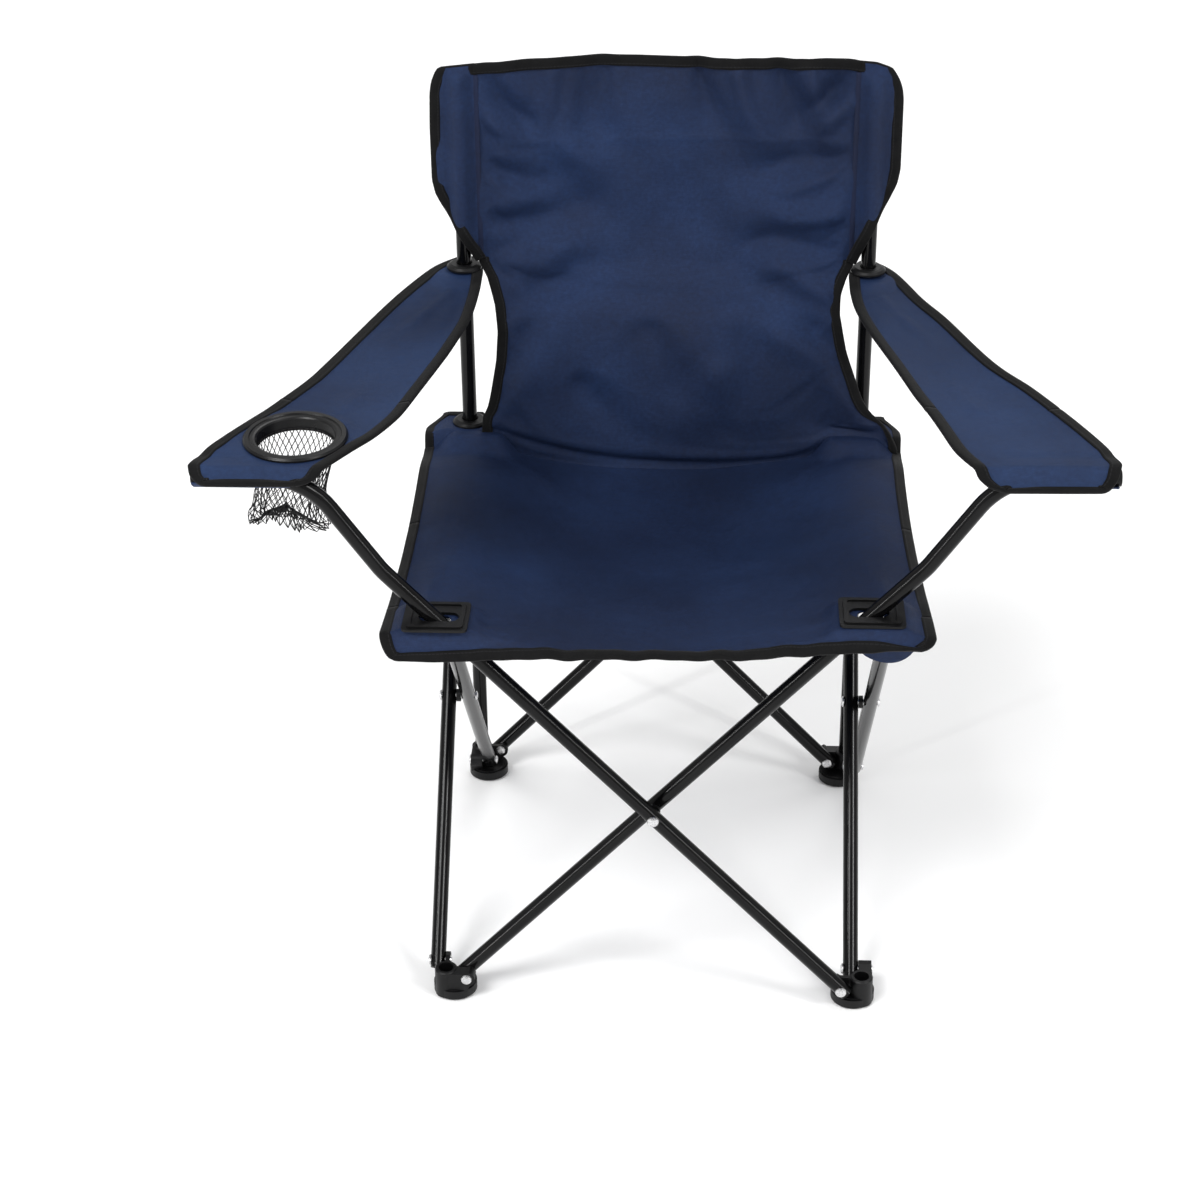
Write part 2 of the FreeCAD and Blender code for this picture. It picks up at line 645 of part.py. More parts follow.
def armrest(label, sx, y_tube, cup):
    """Flat cloth from the front sleeve to the loop round the post. Local frame: origin on
    the arm support's axis, X out, Y to the rear."""
    b = new_body(label)
    rear = C - y_tube
    k = rear / 422.0
    if cup:
        shape = [(415, 0), (413, -10), (405, -16), (318, -16), (299, -10), (276, 27), (255, 61), (237, 104), (227, 145), (205, 234), (190, 311),
                 (185, 350), (184, 395), (185, 430), (191, 444), (205, 452), (226, 446), (239, 425), (249, 400), (265, 361), (280, 316), (308, 223),
                 (325, 170), (342, 136), (362, 98), (376, 75), (396, 44), (408, 17)]
    else:
        shape = [(415, 0), (412, -10), (404, -16), (312, -16), (288, -11), (270, 22), (259, 65), (249, 103), (239, 132), (225, 188), (210, 244), (198, 293),
                 (188, 335), (184, 368), (184, 408), (190, 425), (205, 433), (222, 426), (233, 408), (242, 383), (255, 341), (273, 304), (289, 261), (305, 220),
                 (321, 187), (339, 163), (360, 122), (381, 79), (397, 42), (407, 14)]
    pts = [(sx * x, y) for x, y in shape]
    low = V["tube_od"] / 2 + 1.0
    sk = sketch(b, label + "_cut", "XY_Plane", low)
    outline(sk, pts)
    outline(sk, [(sx * C + x, y) for x, y in arc_points(0, rear, 9.5, 0, 345, 23)])
    if cup:
        circle(sk, sx * 325, 52, "dims.cup_wall_od", V["cup_wall_od"])
    pad(b, sk, label + "_cloth", "dims.cloth_thick", V["cloth_thick"])
    ri, ro = V["tube_od"] / 2 + 0.4, V["tube_od"] / 2 + 2.6
    sk2 = sketch(b, label + "_tunnel", "YZ_Plane", 0)
    sk2.AttachmentOffset = at(0, 0, sx * 350)
    outline(sk2, arc_points(0, 0, ro, 0, 345, 23))
    pad(b, sk2, label + "_sleeve", None, V["arm_x_end"] + (4.5 if cup else 2.0) - 350, reverse=(sx < 0))
    doc.recompute()
    before = b.Shape.Volume
    sk3 = sketch(b, label + "_bore", "YZ_Plane", 0)
    sk3.AttachmentOffset = at(0, 0, sx * 334)
    circle(sk3, 0, 0, "dims.tube_od + 0.8", V["tube_od"] + 0.8)
    pocket(b, sk3, label + "_inside", length=V["arm_x_end"] + 20 - 334, reverse=(sx > 0))
    doc.recompute()
    if not b.Shape.Volume < before - 5000:
        raise RuntimeError("no sleeve bore in " + label)
    return keep(b, label, at(0, y_tube, V["arm_high"], turn(XA, TILT)))


armrest("left_armrest", -1, -C - G, True)
armrest("right_armrest", 1, -C + G, False)


# ---------------------------------------------------------------------- cup holder
def local_to_arm(x, y, z):
    return at(0, -C - G, V["arm_high"], turn(XA, TILT)).multiply(at(x, y, z))


low = V["tube_od"] / 2 + 1.0
b = new_body("cup_holder_ring")
sk = sketch(b, "cup_ring_profile", "XZ_Plane")
ci, cw, co, ct = V["cup_id"] / 2, V["cup_wall_od"] / 2, V["cup_od"] / 2, V["cloth_thick"]
outline(sk, [(ci, -8.0), (cw, -8.0), (cw, ct), (co, ct), (co, ct + 1.6), (co - 1.6, ct + 3.4), (co - 5.5, ct + 3.6), (co - 6.3, ct + 2.4), (cw - 0.5, ct + 2.4), (ci + 1.2, ct + 2.0), (ci, ct + 0.8)])
rev = b.newObject("PartDesign::Revolution", "cup_ring_turned")
rev.Profile = sk
rev.ReferenceAxis = (sk, ["V_Axis"])
rev.Angle = 360
keep(b, "cup_holder_ring", local_to_arm(-325, 52, low))

b = new_body("cup_holder_clamp_ring")
sk = sketch(b, "clamp_ring_profile", "XZ_Plane")
outline(sk, [(cw, -4.0), (cw + 2.0, -4.0), (cw + 2.0, -0.0), (cw, -0.0)])
rev = b.newObject("PartDesign::Revolution", "clamp_ring_turned")
rev.Profile = sk
rev.ReferenceAxis = (sk, ["V_Axis"])
rev.Angle = 360
keep(b, "cup_holder_clamp_ring", local_to_arm(-325, 52, low))

b = new_body("cup_holder_net")
sk = sketch(b, "net_profile", "XZ_Plane")
nt, nb, nd, nw = V["net_top_od"] / 2, V["net_low_od"] / 2, V["net_deep"], V["net_wall"]
outline(sk, [(0, -nd), (nb - 6, -nd), (nb, -nd + 6), (nt + 0.5, -8.0), (nt - nw + 0.5, -8.0), (nb - nw, -nd + 7), (nb - 7, -nd + nw), (0, -nd + nw)])
rev = b.newObject("PartDesign::Revolution", "net_turned")
rev.Profile = sk
rev.ReferenceAxis = (sk, ["V_Axis"])
rev.Angle = 360
keep(b, "cup_holder_net", local_to_arm(-325, 52, low))

# ---------------------------------------------------------------------- checks and export
doc.recompute()
bad = []
for obj in doc.Objects:
    if "Invalid" in obj.State or "Error" in obj.State:
        bad.append(obj.Name + " " + ",".join(obj.State))
for obj in PIECES:
    shp = obj.Shape
    if shp.isNull() or not shp.isValid() or not shp.Solids:
        bad.append(obj.Label + " shape")
if bad:
    raise RuntimeError("failed: " + "; ".join(bad))
os.makedirs("parts", exist_ok=True)
for obj in PIECES:
    obj.Shape.exportStep(os.path.join("parts", obj.Label + ".step"))
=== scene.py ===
import bpy
import bmesh
import math
import numpy as np
from mathutils import Vector, Matrix, noise

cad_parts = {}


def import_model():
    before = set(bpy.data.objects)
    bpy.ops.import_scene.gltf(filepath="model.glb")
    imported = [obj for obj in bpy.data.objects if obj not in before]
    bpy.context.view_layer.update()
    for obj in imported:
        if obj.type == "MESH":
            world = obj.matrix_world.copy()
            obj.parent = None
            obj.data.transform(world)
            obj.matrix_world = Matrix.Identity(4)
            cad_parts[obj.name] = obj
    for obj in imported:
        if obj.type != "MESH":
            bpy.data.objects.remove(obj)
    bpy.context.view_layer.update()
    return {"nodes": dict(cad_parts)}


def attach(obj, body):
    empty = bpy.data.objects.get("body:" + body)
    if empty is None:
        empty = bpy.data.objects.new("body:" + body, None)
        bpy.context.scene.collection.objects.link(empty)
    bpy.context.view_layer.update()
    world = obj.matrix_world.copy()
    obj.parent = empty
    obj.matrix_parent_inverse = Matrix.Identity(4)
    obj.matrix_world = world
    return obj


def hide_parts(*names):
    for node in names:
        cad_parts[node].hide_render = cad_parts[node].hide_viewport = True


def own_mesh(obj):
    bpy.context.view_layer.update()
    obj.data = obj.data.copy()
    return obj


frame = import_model()
scene = bpy.context.scene

# ------------------------------------------------------------------ camera
YAW, PITCH, ROLL = math.radians(-2.9035), math.radians(29.2825), math.radians(-0.5359)
FOCAL_PX = 2511.4
CAM = Vector((0.0517, -2.1965, 1.5710))
fwd0 = Vector((math.sin(YAW), math.cos(YAW), 0))
right = Vector((math.cos(YAW), -math.sin(YAW), 0))
up0 = Vector((0, 0, 1))
fwd = fwd0 * math.cos(PITCH) - up0 * math.sin(PITCH)
up = fwd0 * math.sin(PITCH) + up0 * math.cos(PITCH)
r2 = right * math.cos(ROLL) + up * math.sin(ROLL)
u2 = -right * math.sin(ROLL) + up * math.cos(ROLL)
cam_data = bpy.data.cameras.new("camera")
cam = bpy.data.objects.new("camera", cam_data)
scene.collection.objects.link(cam)
rot = Matrix((r2, u2, -fwd)).transposed()
cam.matrix_world = Matrix.Translation(CAM) @ rot.to_4x4()
cam_data.sensor_width = 36.0
cam_data.lens = FOCAL_PX / 1200.0 * 36.0
cam_data.clip_end = 50
scene.camera = cam


# ------------------------------------------------------------------ materials
def new_mat(name):
    m = bpy.data.materials.new(name)
    m.use_nodes = True
    nt = m.node_tree
    nt.nodes.clear()
    out = nt.nodes.new("ShaderNodeOutputMaterial")
    bsdf = nt.nodes.new("ShaderNodeBsdfPrincipled")
    nt.links.new(bsdf.outputs[0], out.inputs[0])
    return m, nt, bsdf


def node(nt, kind, **kw):
    n = nt.nodes.new(kind)
    for k, v in kw.items():
        if k in n.inputs:
            n.inputs[k].default_value = v
        else:
            setattr(n, k, v)
    return n


def math_node(nt, op, a, b=None, clamp=False):
    n = nt.nodes.new("ShaderNodeMath")
    n.operation = op
    n.use_clamp = clamp
    for i, v in enumerate((a, b)):
        if v is None:
            continue
        if hasattr(v, "links"):
            nt.links.new(v, n.inputs[i])
        else:
            n.inputs[i].default_value = v
    return n.outputs[0]


def ramp(nt, fac, stops):
    n = nt.nodes.new("ShaderNodeValToRGB")
    cr = n.color_ramp
    while len(cr.elements) > 1:
        cr.elements.remove(cr.elements[-1])
    cr.elements[0].position, cr.elements[0].color = stops[0][0], (*stops[0][1], 1)
    for p, c in stops[1:]:
        e = cr.elements.new(p)
        e.color = (*c, 1)
    nt.links.new(fac, n.inputs[0])
    return n.outputs[0]


def rgb(r, g, b):
    def lin(c):
        c /= 255.0
        return c / 12.92 if c <= 0.04045 else ((c + 0.055) / 1.055) ** 2.4
    return (lin(r), lin(g), lin(b))


def uv_node(nt, name="cloth"):
    n = nt.nodes.new("ShaderNodeUVMap")
    n.uv_map = name
    return n.outputs[0]


def cloth_material(name, dark, mid, light, rough=0.62, sheen=0.35):
    """Coated plain-weave polyester: two crossed thread waves, mottled dye, soft creases."""
    m, nt, b = new_mat(name)
    uv = uv_node(nt)
    obj = nt.nodes.new("ShaderNodeTexCoord").outputs["Object"]
    waves = []
    for direction in ("X", "Y"):
        w = node(nt, "ShaderNodeTexWave", wave_type="BANDS", bands_direction=direction, wave_profile="SIN")
        w.inputs["Scale"].default_value = 560.0
        w.inputs["Distortion"].default_value = 0.6
        w.inputs["Detail"].default_value = 1.0
        w.inputs["Detail Scale"].default_value = 1.5
        nt.links.new(uv, w.inputs["Vector"])
        waves.append(w.outputs["Fac"])
    check = nt.nodes.new("ShaderNodeTexChecker")
    check.inputs["Scale"].default_value = 1120.0
    nt.links.new(uv, check.inputs["Vector"])
    mix = nt.nodes.new("ShaderNodeMix")
    mix.data_type = "FLOAT"
    nt.links.new(check.outputs["Fac"], mix.inputs[0])
    nt.links.new(waves[0], mix.inputs[2])
    nt.links.new(waves[1], mix.inputs[3])
    weave = mix.outputs[0]
    big = node(nt, "ShaderNodeTexNoise", noise_dimensions="3D")
    big.inputs["Scale"].default_value = 7.0
    big.inputs["Detail"].default_value = 4.0
    nt.links.new(obj, big.inputs["Vector"])
    fine = node(nt, "ShaderNodeTexNoise", noise_dimensions="3D")
    fine.inputs["Scale"].default_value = 260.0
    fine.inputs["Detail"].default_value = 3.0
    nt.links.new(obj, fine.inputs["Vector"])
    slub = node(nt, "ShaderNodeTexNoise", noise_dimensions="3D")
    slub.inputs["Scale"].default_value = 1.0
    slub.inputs["Detail"].default_value = 2.0
    sc = node(nt, "ShaderNodeMapping")
    sc.inputs["Scale"].default_value = (60, 900, 60)
    nt.links.new(uv, sc.inputs["Vector"])
    nt.links.new(sc.outputs[0], slub.inputs["Vector"])
    f = math_node(nt, "ADD", math_node(nt, "MULTIPLY", big.outputs["Fac"], 0.55), math_node(nt, "MULTIPLY", fine.outputs["Fac"], 0.25))
    f = math_node(nt, "ADD", f, math_node(nt, "MULTIPLY", slub.outputs["Fac"], 0.12))
    f = math_node(nt, "ADD", f, math_node(nt, "MULTIPLY", weave, 0.16))
    col = ramp(nt, f, [(0.30, dark), (0.54, mid), (0.80, light)])
    nt.links.new(col, b.inputs["Base Color"])
    rr = math_node(nt, "ADD", math_node(nt, "MULTIPLY", big.outputs["Fac"], 0.16), rough - 0.08)
    rr = math_node(nt, "ADD", rr, math_node(nt, "MULTIPLY", fine.outputs["Fac"], 0.06))
    nt.links.new(rr, b.inputs["Roughness"])
    b.inputs["Sheen Weight"].default_value = sheen
    b.inputs["Sheen Roughness"].default_value = 0.45
    b.inputs["Sheen Tint"].default_value = (*light, 1)
    b.inputs["Specular IOR Level"].default_value = 0.25
    crease = node(nt, "ShaderNodeTexNoise", noise_dimensions="3D")
    crease.inputs["Scale"].default_value = 26.0
    crease.inputs["Detail"].default_value = 5.0
    crease.inputs["Roughness"].default_value = 0.55
    crease.inputs["Distortion"].default_value = 0.8
    nt.links.new(obj, crease.inputs["Vector"])
    bump0 = nt.nodes.new("ShaderNodeBump")
    bump0.inputs["Strength"].default_value = 0.30
    bump0.inputs["Distance"].default_value = 0.004
    nt.links.new(crease.outputs["Fac"], bump0.inputs["Height"])
    bump = nt.nodes.new("ShaderNodeBump")
    bump.inputs["Strength"].default_value = 0.5
    bump.inputs["Distance"].default_value = 0.00035
    nt.links.new(weave, bump.inputs["Height"])
    nt.links.new(bump0.outputs[0], bump.inputs["Normal"])
    nt.links.new(bump.outputs[0], b.inputs["Normal"])
    return m


def tape_material(name):
    """Black woven edge tape: fine cross ribs and a run of lock stitches near the inner edge.
    Its UV runs along the tape in U and across it in V, in metres."""
    m, nt, b = new_mat(name)
    uv = uv_node(nt)
    sep = nt.nodes.new("ShaderNodeSeparateXYZ")
    nt.links.new(uv, sep.inputs[0])
    obj = nt.nodes.new("ShaderNodeTexCoord").outputs["Object"]
    ribs = node(nt, "ShaderNodeTexWave", wave_type="BANDS", bands_direction="X", wave_profile="SIN")
    ribs.inputs["Scale"].default_value = 300.0
    ribs.inputs["Distortion"].default_value = 0.3
    nt.links.new(uv, ribs.inputs["Vector"])
    n = node(nt, "ShaderNodeTexNoise", noise_dimensions="3D")
    n.inputs["Scale"].default_value = 90.0
    n.inputs["Detail"].default_value = 4.0
    nt.links.new(obj, n.inputs["Vector"])
    # stitch: short dashes of 2.6 mm every 3.6 mm, on a line 7.4 mm in from the edge
    u = math_node(nt, "FRACT", math_node(nt, "MULTIPLY", sep.outputs[0], 1 / 0.0036))
    dash = math_node(nt, "MULTIPLY", math_node(nt, "GREATER_THAN", u, 0.14), math_node(nt, "LESS_THAN", u, 0.86))
    off = math_node(nt, "ABSOLUTE", math_node(nt, "SUBTRACT", sep.outputs[1], 0.0074))
    line = math_node(nt, "LESS_THAN", off, 0.00045)
    st = math_node(nt, "MULTIPLY", dash, line)
    base = ramp(nt, n.outputs["Fac"], [(0.3, rgb(4, 4, 5)), (0.7, rgb(13, 13, 14))])
    mix = nt.nodes.new("ShaderNodeMix")
    mix.data_type = "RGBA"
    nt.links.new(st, mix.inputs[0])
    nt.links.new(base, mix.inputs[6])
    mix.inputs[7].default_value = (*rgb(27, 27, 29), 1)
    nt.links.new(mix.outputs[2], b.inputs["Base Color"])
    rr = math_node(nt, "ADD", math_node(nt, "MULTIPLY", n.outputs["Fac"], 0.2), 0.6)
    nt.links.new(rr, b.inputs["Roughness"])
    b.inputs["Sheen Weight"].default_value = 0.04
    b.inputs["Sheen Roughness"].default_value = 0.5
    b.inputs["Specular IOR Level"].default_value = 0.12
    h = math_node(nt, "ADD", math_node(nt, "MULTIPLY", ribs.outputs["Fac"], 0.5), math_node(nt, "MULTIPLY", st, 0.9))
    h = math_node(nt, "ADD", h, math_node(nt, "MULTIPLY", n.outputs["Fac"], 0.5))
    bump = nt.nodes.new("ShaderNodeBump")
    bump.inputs["Strength"].default_value = 0.6
    bump.inputs["Distance"].default_value = 0.0004
    nt.links.new(h, bump.inputs["Height"])
    nt.links.new(bump.outputs[0], b.inputs["Normal"])
    return m


def paint_material(name, base, rough, coat, speck=0.5):
    m, nt, b = new_mat(name)
    obj = nt.nodes.new("ShaderNodeTexCoord").outputs["Object"]
    n = node(nt, "ShaderNodeTexNoise", noise_dimensions="3D")
    n.inputs["Scale"].default_value = 420.0
    n.inputs["Detail"].default_value = 2.0
    nt.links.new(obj, n.inputs["Vector"])
    n2 = node(nt, "ShaderNodeTexNoise", noise_dimensions="3D")
    n2.inputs["Scale"].default_value = 18.0
    n2.inputs["Detail"].default_value = 5.0
    nt.links.new(obj, n2.inputs["Vector"])
    lo = tuple(c * 0.75 for c in base)
    hi = tuple(min(1, c * 1.5 + 0.002) for c in base)
    nt.links.new(ramp(nt, n2.outputs["Fac"], [(0.3, lo), (0.7, hi)]), b.inputs["Base Color"])
    rr = math_node(nt, "ADD", math_node(nt, "MULTIPLY", n2.outputs["Fac"], 0.14), rough - 0.07)
    nt.links.new(rr, b.inputs["Roughness"])
    b.inputs["Coat Weight"].default_value = coat
    b.inputs["Coat Roughness"].default_value = 0.08
    b.inputs["Specular IOR Level"].default_value = 0.14
    bump = nt.nodes.new("ShaderNodeBump")
    bump.inputs["Strength"].default_value = speck
    bump.inputs["Distance"].default_value = 0.00012
    nt.links.new(n.outputs["Fac"], bump.inputs["Height"])
    nt.links.new(bump.outputs[0], b.inputs["Normal"])
    return m


def plastic_material(name, base, rough):
    m, nt, b = new_mat(name)
    obj = nt.nodes.new("ShaderNodeTexCoord").outputs["Object"]
    v = node(nt, "ShaderNodeTexVoronoi")
    v.inputs["Scale"].default_value = 1400.0
    nt.links.new(obj, v.inputs["Vector"])
    n = node(nt, "ShaderNodeTexNoise", noise_dimensions="3D")
    n.inputs["Scale"].default_value = 55.0
    n.inputs["Detail"].default_value = 5.0
    nt.links.new(obj, n.inputs["Vector"])
    nt.links.new(ramp(nt, n.outputs["Fac"], [(0.3, tuple(c * 0.7 for c in base)), (0.72, tuple(c * 1.5 for c in base))]), b.inputs["Base Color"])
    rr = math_node(nt, "ADD", math_node(nt, "MULTIPLY", n.outputs["Fac"], 0.2), rough - 0.1)
    nt.links.new(rr, b.inputs["Roughness"])
    b.inputs["Specular IOR Level"].default_value = 0.25
    h = math_node(nt, "ADD", math_node(nt, "MULTIPLY", v.outputs["Distance"], 0.6), math_node(nt, "MULTIPLY", n.outputs["Fac"], 0.8))
    bump = nt.nodes.new("ShaderNodeBump")
    bump.inputs["Strength"].default_value = 0.35
    bump.inputs["Distance"].default_value = 0.0002
    nt.links.new(h, bump.inputs["Height"])
    nt.links.new(bump.outputs[0], b.inputs["Normal"])
    return m


def rivet_material(name):
    m, nt, b = new_mat(name)
    obj = nt.nodes.new("ShaderNodeTexCoord").outputs["Object"]
    n = node(nt, "ShaderNodeTexNoise", noise_dimensions="3D")
    n.inputs["Scale"].default_value = 700.0
    n.inputs["Detail"].default_value = 4.0
    nt.links.new(obj, n.inputs["Vector"])
    nt.links.new(ramp(nt, n.outputs["Fac"], [(0.3, (0.50, 0.50, 0.51)), (0.7, (0.80, 0.80, 0.80))]), b.inputs["Base Color"])
    b.inputs["Metallic"].default_value = 1.0
    rr = math_node(nt, "ADD", math_node(nt, "MULTIPLY", n.outputs["Fac"], 0.22), 0.18)
    nt.links.new(rr, b.inputs["Roughness"])
    bump = nt.nodes.new("ShaderNodeBump")
    bump.inputs["Strength"].default_value = 0.3
    bump.inputs["Distance"].default_value = 0.0001
    nt.links.new(n.outputs["Fac"], bump.inputs["Height"])
    nt.links.new(bump.outputs[0], b.inputs["Normal"])
    return m


NAVY = cloth_material("navy_cloth", rgb(8, 18, 42), rgb(16, 32, 63), rgb(30, 52, 92), sheen=0.05)
# the armrests' cloth: the same navy fabric with painted light, its colours raised to stand in for the extra light on
# the upward-facing armrests
NAVY_ARM_PAINTED_LIGHTER = cloth_material("navy_cloth_arm_painted_lighter", rgb(14, 27, 54), rgb(23, 42, 76), rgb(38, 61, 101), sheen=0.05)
SEAMCLOTH = cloth_material("navy_seam", rgb(10, 16, 36), rgb(16, 25, 52), rgb(26, 38, 70), sheen=0.05)
TAPE = tape_material("edge_tape")
STEEL = paint_material("black_paint", (0.0014, 0.0014, 0.0016), 0.17, 0.10, 0.25)
PLASTIC = plastic_material("black_plastic", rgb(8, 8, 9), 0.45)
GROMMET = plastic_material("grommet_plastic", rgb(13, 13, 14), 0.38)
CUP = plastic_material("cup_ring_plastic", rgb(15, 15, 16), 0.30)
RIVET = rivet_material("rivet_steel")
CORD = plastic_material("net_cord", rgb(15, 15, 17), 0.6)

for name, ob in frame["nodes"].items():
    if "rivet" in name:
        mat = RIVET
    elif "grommet" in name:
        mat = GROMMET
    elif name.startswith("cup_holder"):
        mat = CUP
    elif "tube_plug" in name or "post_plug" in name or "spacer" in name:
        mat = PLASTIC
    elif "tube" in name or "post" in name:
        mat = STEEL
    elif any(w in name for w in ("foot", "slider", "hub", "plate")):
        mat = PLASTIC
    else:
        mat = NAVY
    if len(ob.data.materials) == 0:
        ob.data.materials.append(mat)
    for i in range(len(ob.material_slots)):
        ob.material_slots[i].material = mat


# ------------------------------------------------------------------ mesh helpers
def link(name, verts, faces, mat, uvs=None, smooth=True):
    me = bpy.data.meshes.new(name)
    me.from_pydata([tuple(map(float, v)) for v in verts], [], [tuple(int(i) for i in f) for f in faces])
    me.update()
    if uvs is not None:
        layer = me.uv_layers.new(name="cloth")
        idx = np.empty(len(me.loops), dtype=np.int64)
        me.loops.foreach_get("vertex_index", idx)
        layer.data.foreach_set("uv", np.asarray(uvs, float)[idx].astype(np.float32).ravel())
    if smooth:
        me.polygons.foreach_set("use_smooth", [True] * len(me.polygons))
    ob = bpy.data.objects.new(name, me)
    scene.collection.objects.link(ob)
    me.materials.append(mat)
    return ob


def grid_normals(P):
    du = np.gradient(P, axis=0)
    dv = np.gradient(P, axis=1)
    n = np.cross(du, dv)
    n /= np.linalg.norm(n, axis=2, keepdims=True) + 1e-12
    return n


def arc_uv(P):
    """Coordinates in metres along the sheet, so that the weave keeps its scale."""
    nu, nv = P.shape[:2]
    U = np.zeros((nu, nv))
    W = np.zeros((nu, nv))
    U[1:] = np.cumsum(np.linalg.norm(np.diff(P, axis=0), axis=2), axis=0)
    U -= U[nu // 2:nu // 2 + 1]
    W[:, 1:] = np.cumsum(np.linalg.norm(np.diff(P, axis=1), axis=2), axis=1)
    return np.stack([U, W], 2)


def shell(name, P, N, UV, mat, thick):
    """Closed thin sheet about the grid of points P, with its normals N."""
    nu, nv = P.shape[:2]
    top = (P + N * thick / 2).reshape(-1, 3)
    bot = (P - N * thick / 2).reshape(-1, 3)
    n = nu * nv
    idx = np.arange(n).reshape(nu, nv)
    a, b, c, d = idx[:-1, :-1], idx[1:, :-1], idx[1:, 1:], idx[:-1, 1:]
    f1 = np.stack([a, b, c, d], -1).reshape(-1, 4)
    f2 = np.stack([a, d, c, b], -1).reshape(-1, 4) + n
    rim = np.concatenate([idx[:, 0], idx[-1, 1:], idx[-2::-1, -1], idx[0, -2:0:-1]])
    nxt = np.roll(rim, -1)
    f3 = np.stack([nxt, rim, rim + n, nxt + n], -1)
    faces = np.concatenate([f1, f2, f3])
    uv = UV.reshape(-1, 2)
    ob = link(name, np.concatenate([top, bot]), faces, mat, np.concatenate([uv, uv]))
    nn = np.concatenate([N.reshape(-1, 3), -N.reshape(-1, 3)])
    ob.data.normals_split_custom_set_from_vertices([tuple(v) for v in nn])
    return ob


def smooth_closed(vals, k, closed):
    v = vals.copy()
    for _ in range(k):
        if closed:
            v = (np.roll(v, 1, 0) + 2 * v + np.roll(v, -1, 0)) / 4
        else:
            v[1:-1] = (v[:-2] + 2 * v[1:-1] + v[2:]) / 4
    return v


def tape(name, path, inward, normal, closed, half=0.0021, wide=0.0098, out=0.0014, mat=None, wobble=0.0):
    """Edge tape folded over the sheet's edge, along path. inward points into the sheet,
    normal is the sheet's own, per point."""
    path = np.asarray(path, float)
    inward = np.asarray(inward, float)
    normal = np.asarray(normal, float)
    normal = smooth_closed(normal, 2, closed)
    normal /= np.linalg.norm(normal, axis=1, keepdims=True)
    inward = smooth_closed(inward, 2, closed)
    inward -= normal * np.sum(inward * normal, axis=1, keepdims=True)
    inward /= np.linalg.norm(inward, axis=1, keepdims=True)
    sec = [(-out, 0.0), (-out * 0.75, half * 0.62), (-out * 0.1, half * 0.95), (wide * 0.35, half), (wide * 0.75, half), (wide * 0.95, half * 0.9), (wide, half * 0.35)]
    sec = sec + [(s, -h) for s, h in reversed(sec[1:])]
    k = len(sec)
    n = len(path)
    seg = np.linalg.norm(np.diff(path, axis=0), axis=1)
    length = np.concatenate([[0], np.cumsum(seg)])
    verts, uvs = [], []
    for i in range(n):
        for s, h in sec:
            verts.append(path[i] + inward[i] * s + normal[i] * h)
            uvs.append((length[i], s))
    faces = []
    last = n if closed else n - 1
    for i in range(last):
        j = (i + 1) % n
        for q in range(k):
            w = (q + 1) % k
            faces.append((i * k + q, i * k + w, j * k + w, j * k + q))
    if not closed:
        faces.append(tuple(range(k)))
        faces.append(tuple((n - 1) * k + q for q in reversed(range(k))))
    ob = link(name, verts, faces, mat or TAPE, uvs)
    bm = bmesh.new()
    bm.from_mesh(ob.data)
    bmesh.ops.recalc_face_normals(bm, faces=bm.faces)
    bm.to_mesh(ob.data)
    bm.free()
    return ob


def resample(pts, others, step, closed=False):
    pts = np.asarray(pts, float)
    if closed:
        pts = np.vstack([pts, pts[:1]])
        others = [np.vstack([o, o[:1]]) for o in others]
    seg = np.linalg.norm(np.diff(pts, axis=0), axis=1)
    keep_ = np.concatenate([[True], seg > 1e-7])
    pts = pts[keep_]
    others = [np.asarray(o, float)[keep_] for o in others]
    s = np.concatenate([[0], np.cumsum(np.linalg.norm(np.diff(pts, axis=0), axis=1))])
    m = max(4, int(round(s[-1] / step)) + 1)
    t = np.linspace(0, s[-1], m)
    if closed:
        t = t[:-1]
    def f(a):
        return np.stack([np.interp(t, s, a[:, i]) for i in range(a.shape[1])], 1)
    return f(pts), [f(np.asarray(o)) for o in others]


def noise3(x, y, z, s, seed=0.0):
    return noise.noise(Vector((x * s + seed, y * s + seed * 0.7, z * s - seed * 1.3)))


def field(P, s, seed=0.0, octaves=3, stretch=(1, 1, 1)):
    out = np.zeros(P.shape[:2])
    for i in range(P.shape[0]):
        for j in range(P.shape[1]):
            p = P[i, j]
            v, a, f = 0.0, 1.0, s
            for _ in range(octaves):
                v += a * noise3(p[0] * stretch[0], p[1] * stretch[1], p[2] * stretch[2], f, seed)
                a *= 0.5
                f *= 2.0
            out[i, j] = v
    return out


def smoothstep(t):
    t = np.clip(t, 0, 1)
    return t * t * (3 - 2 * t)


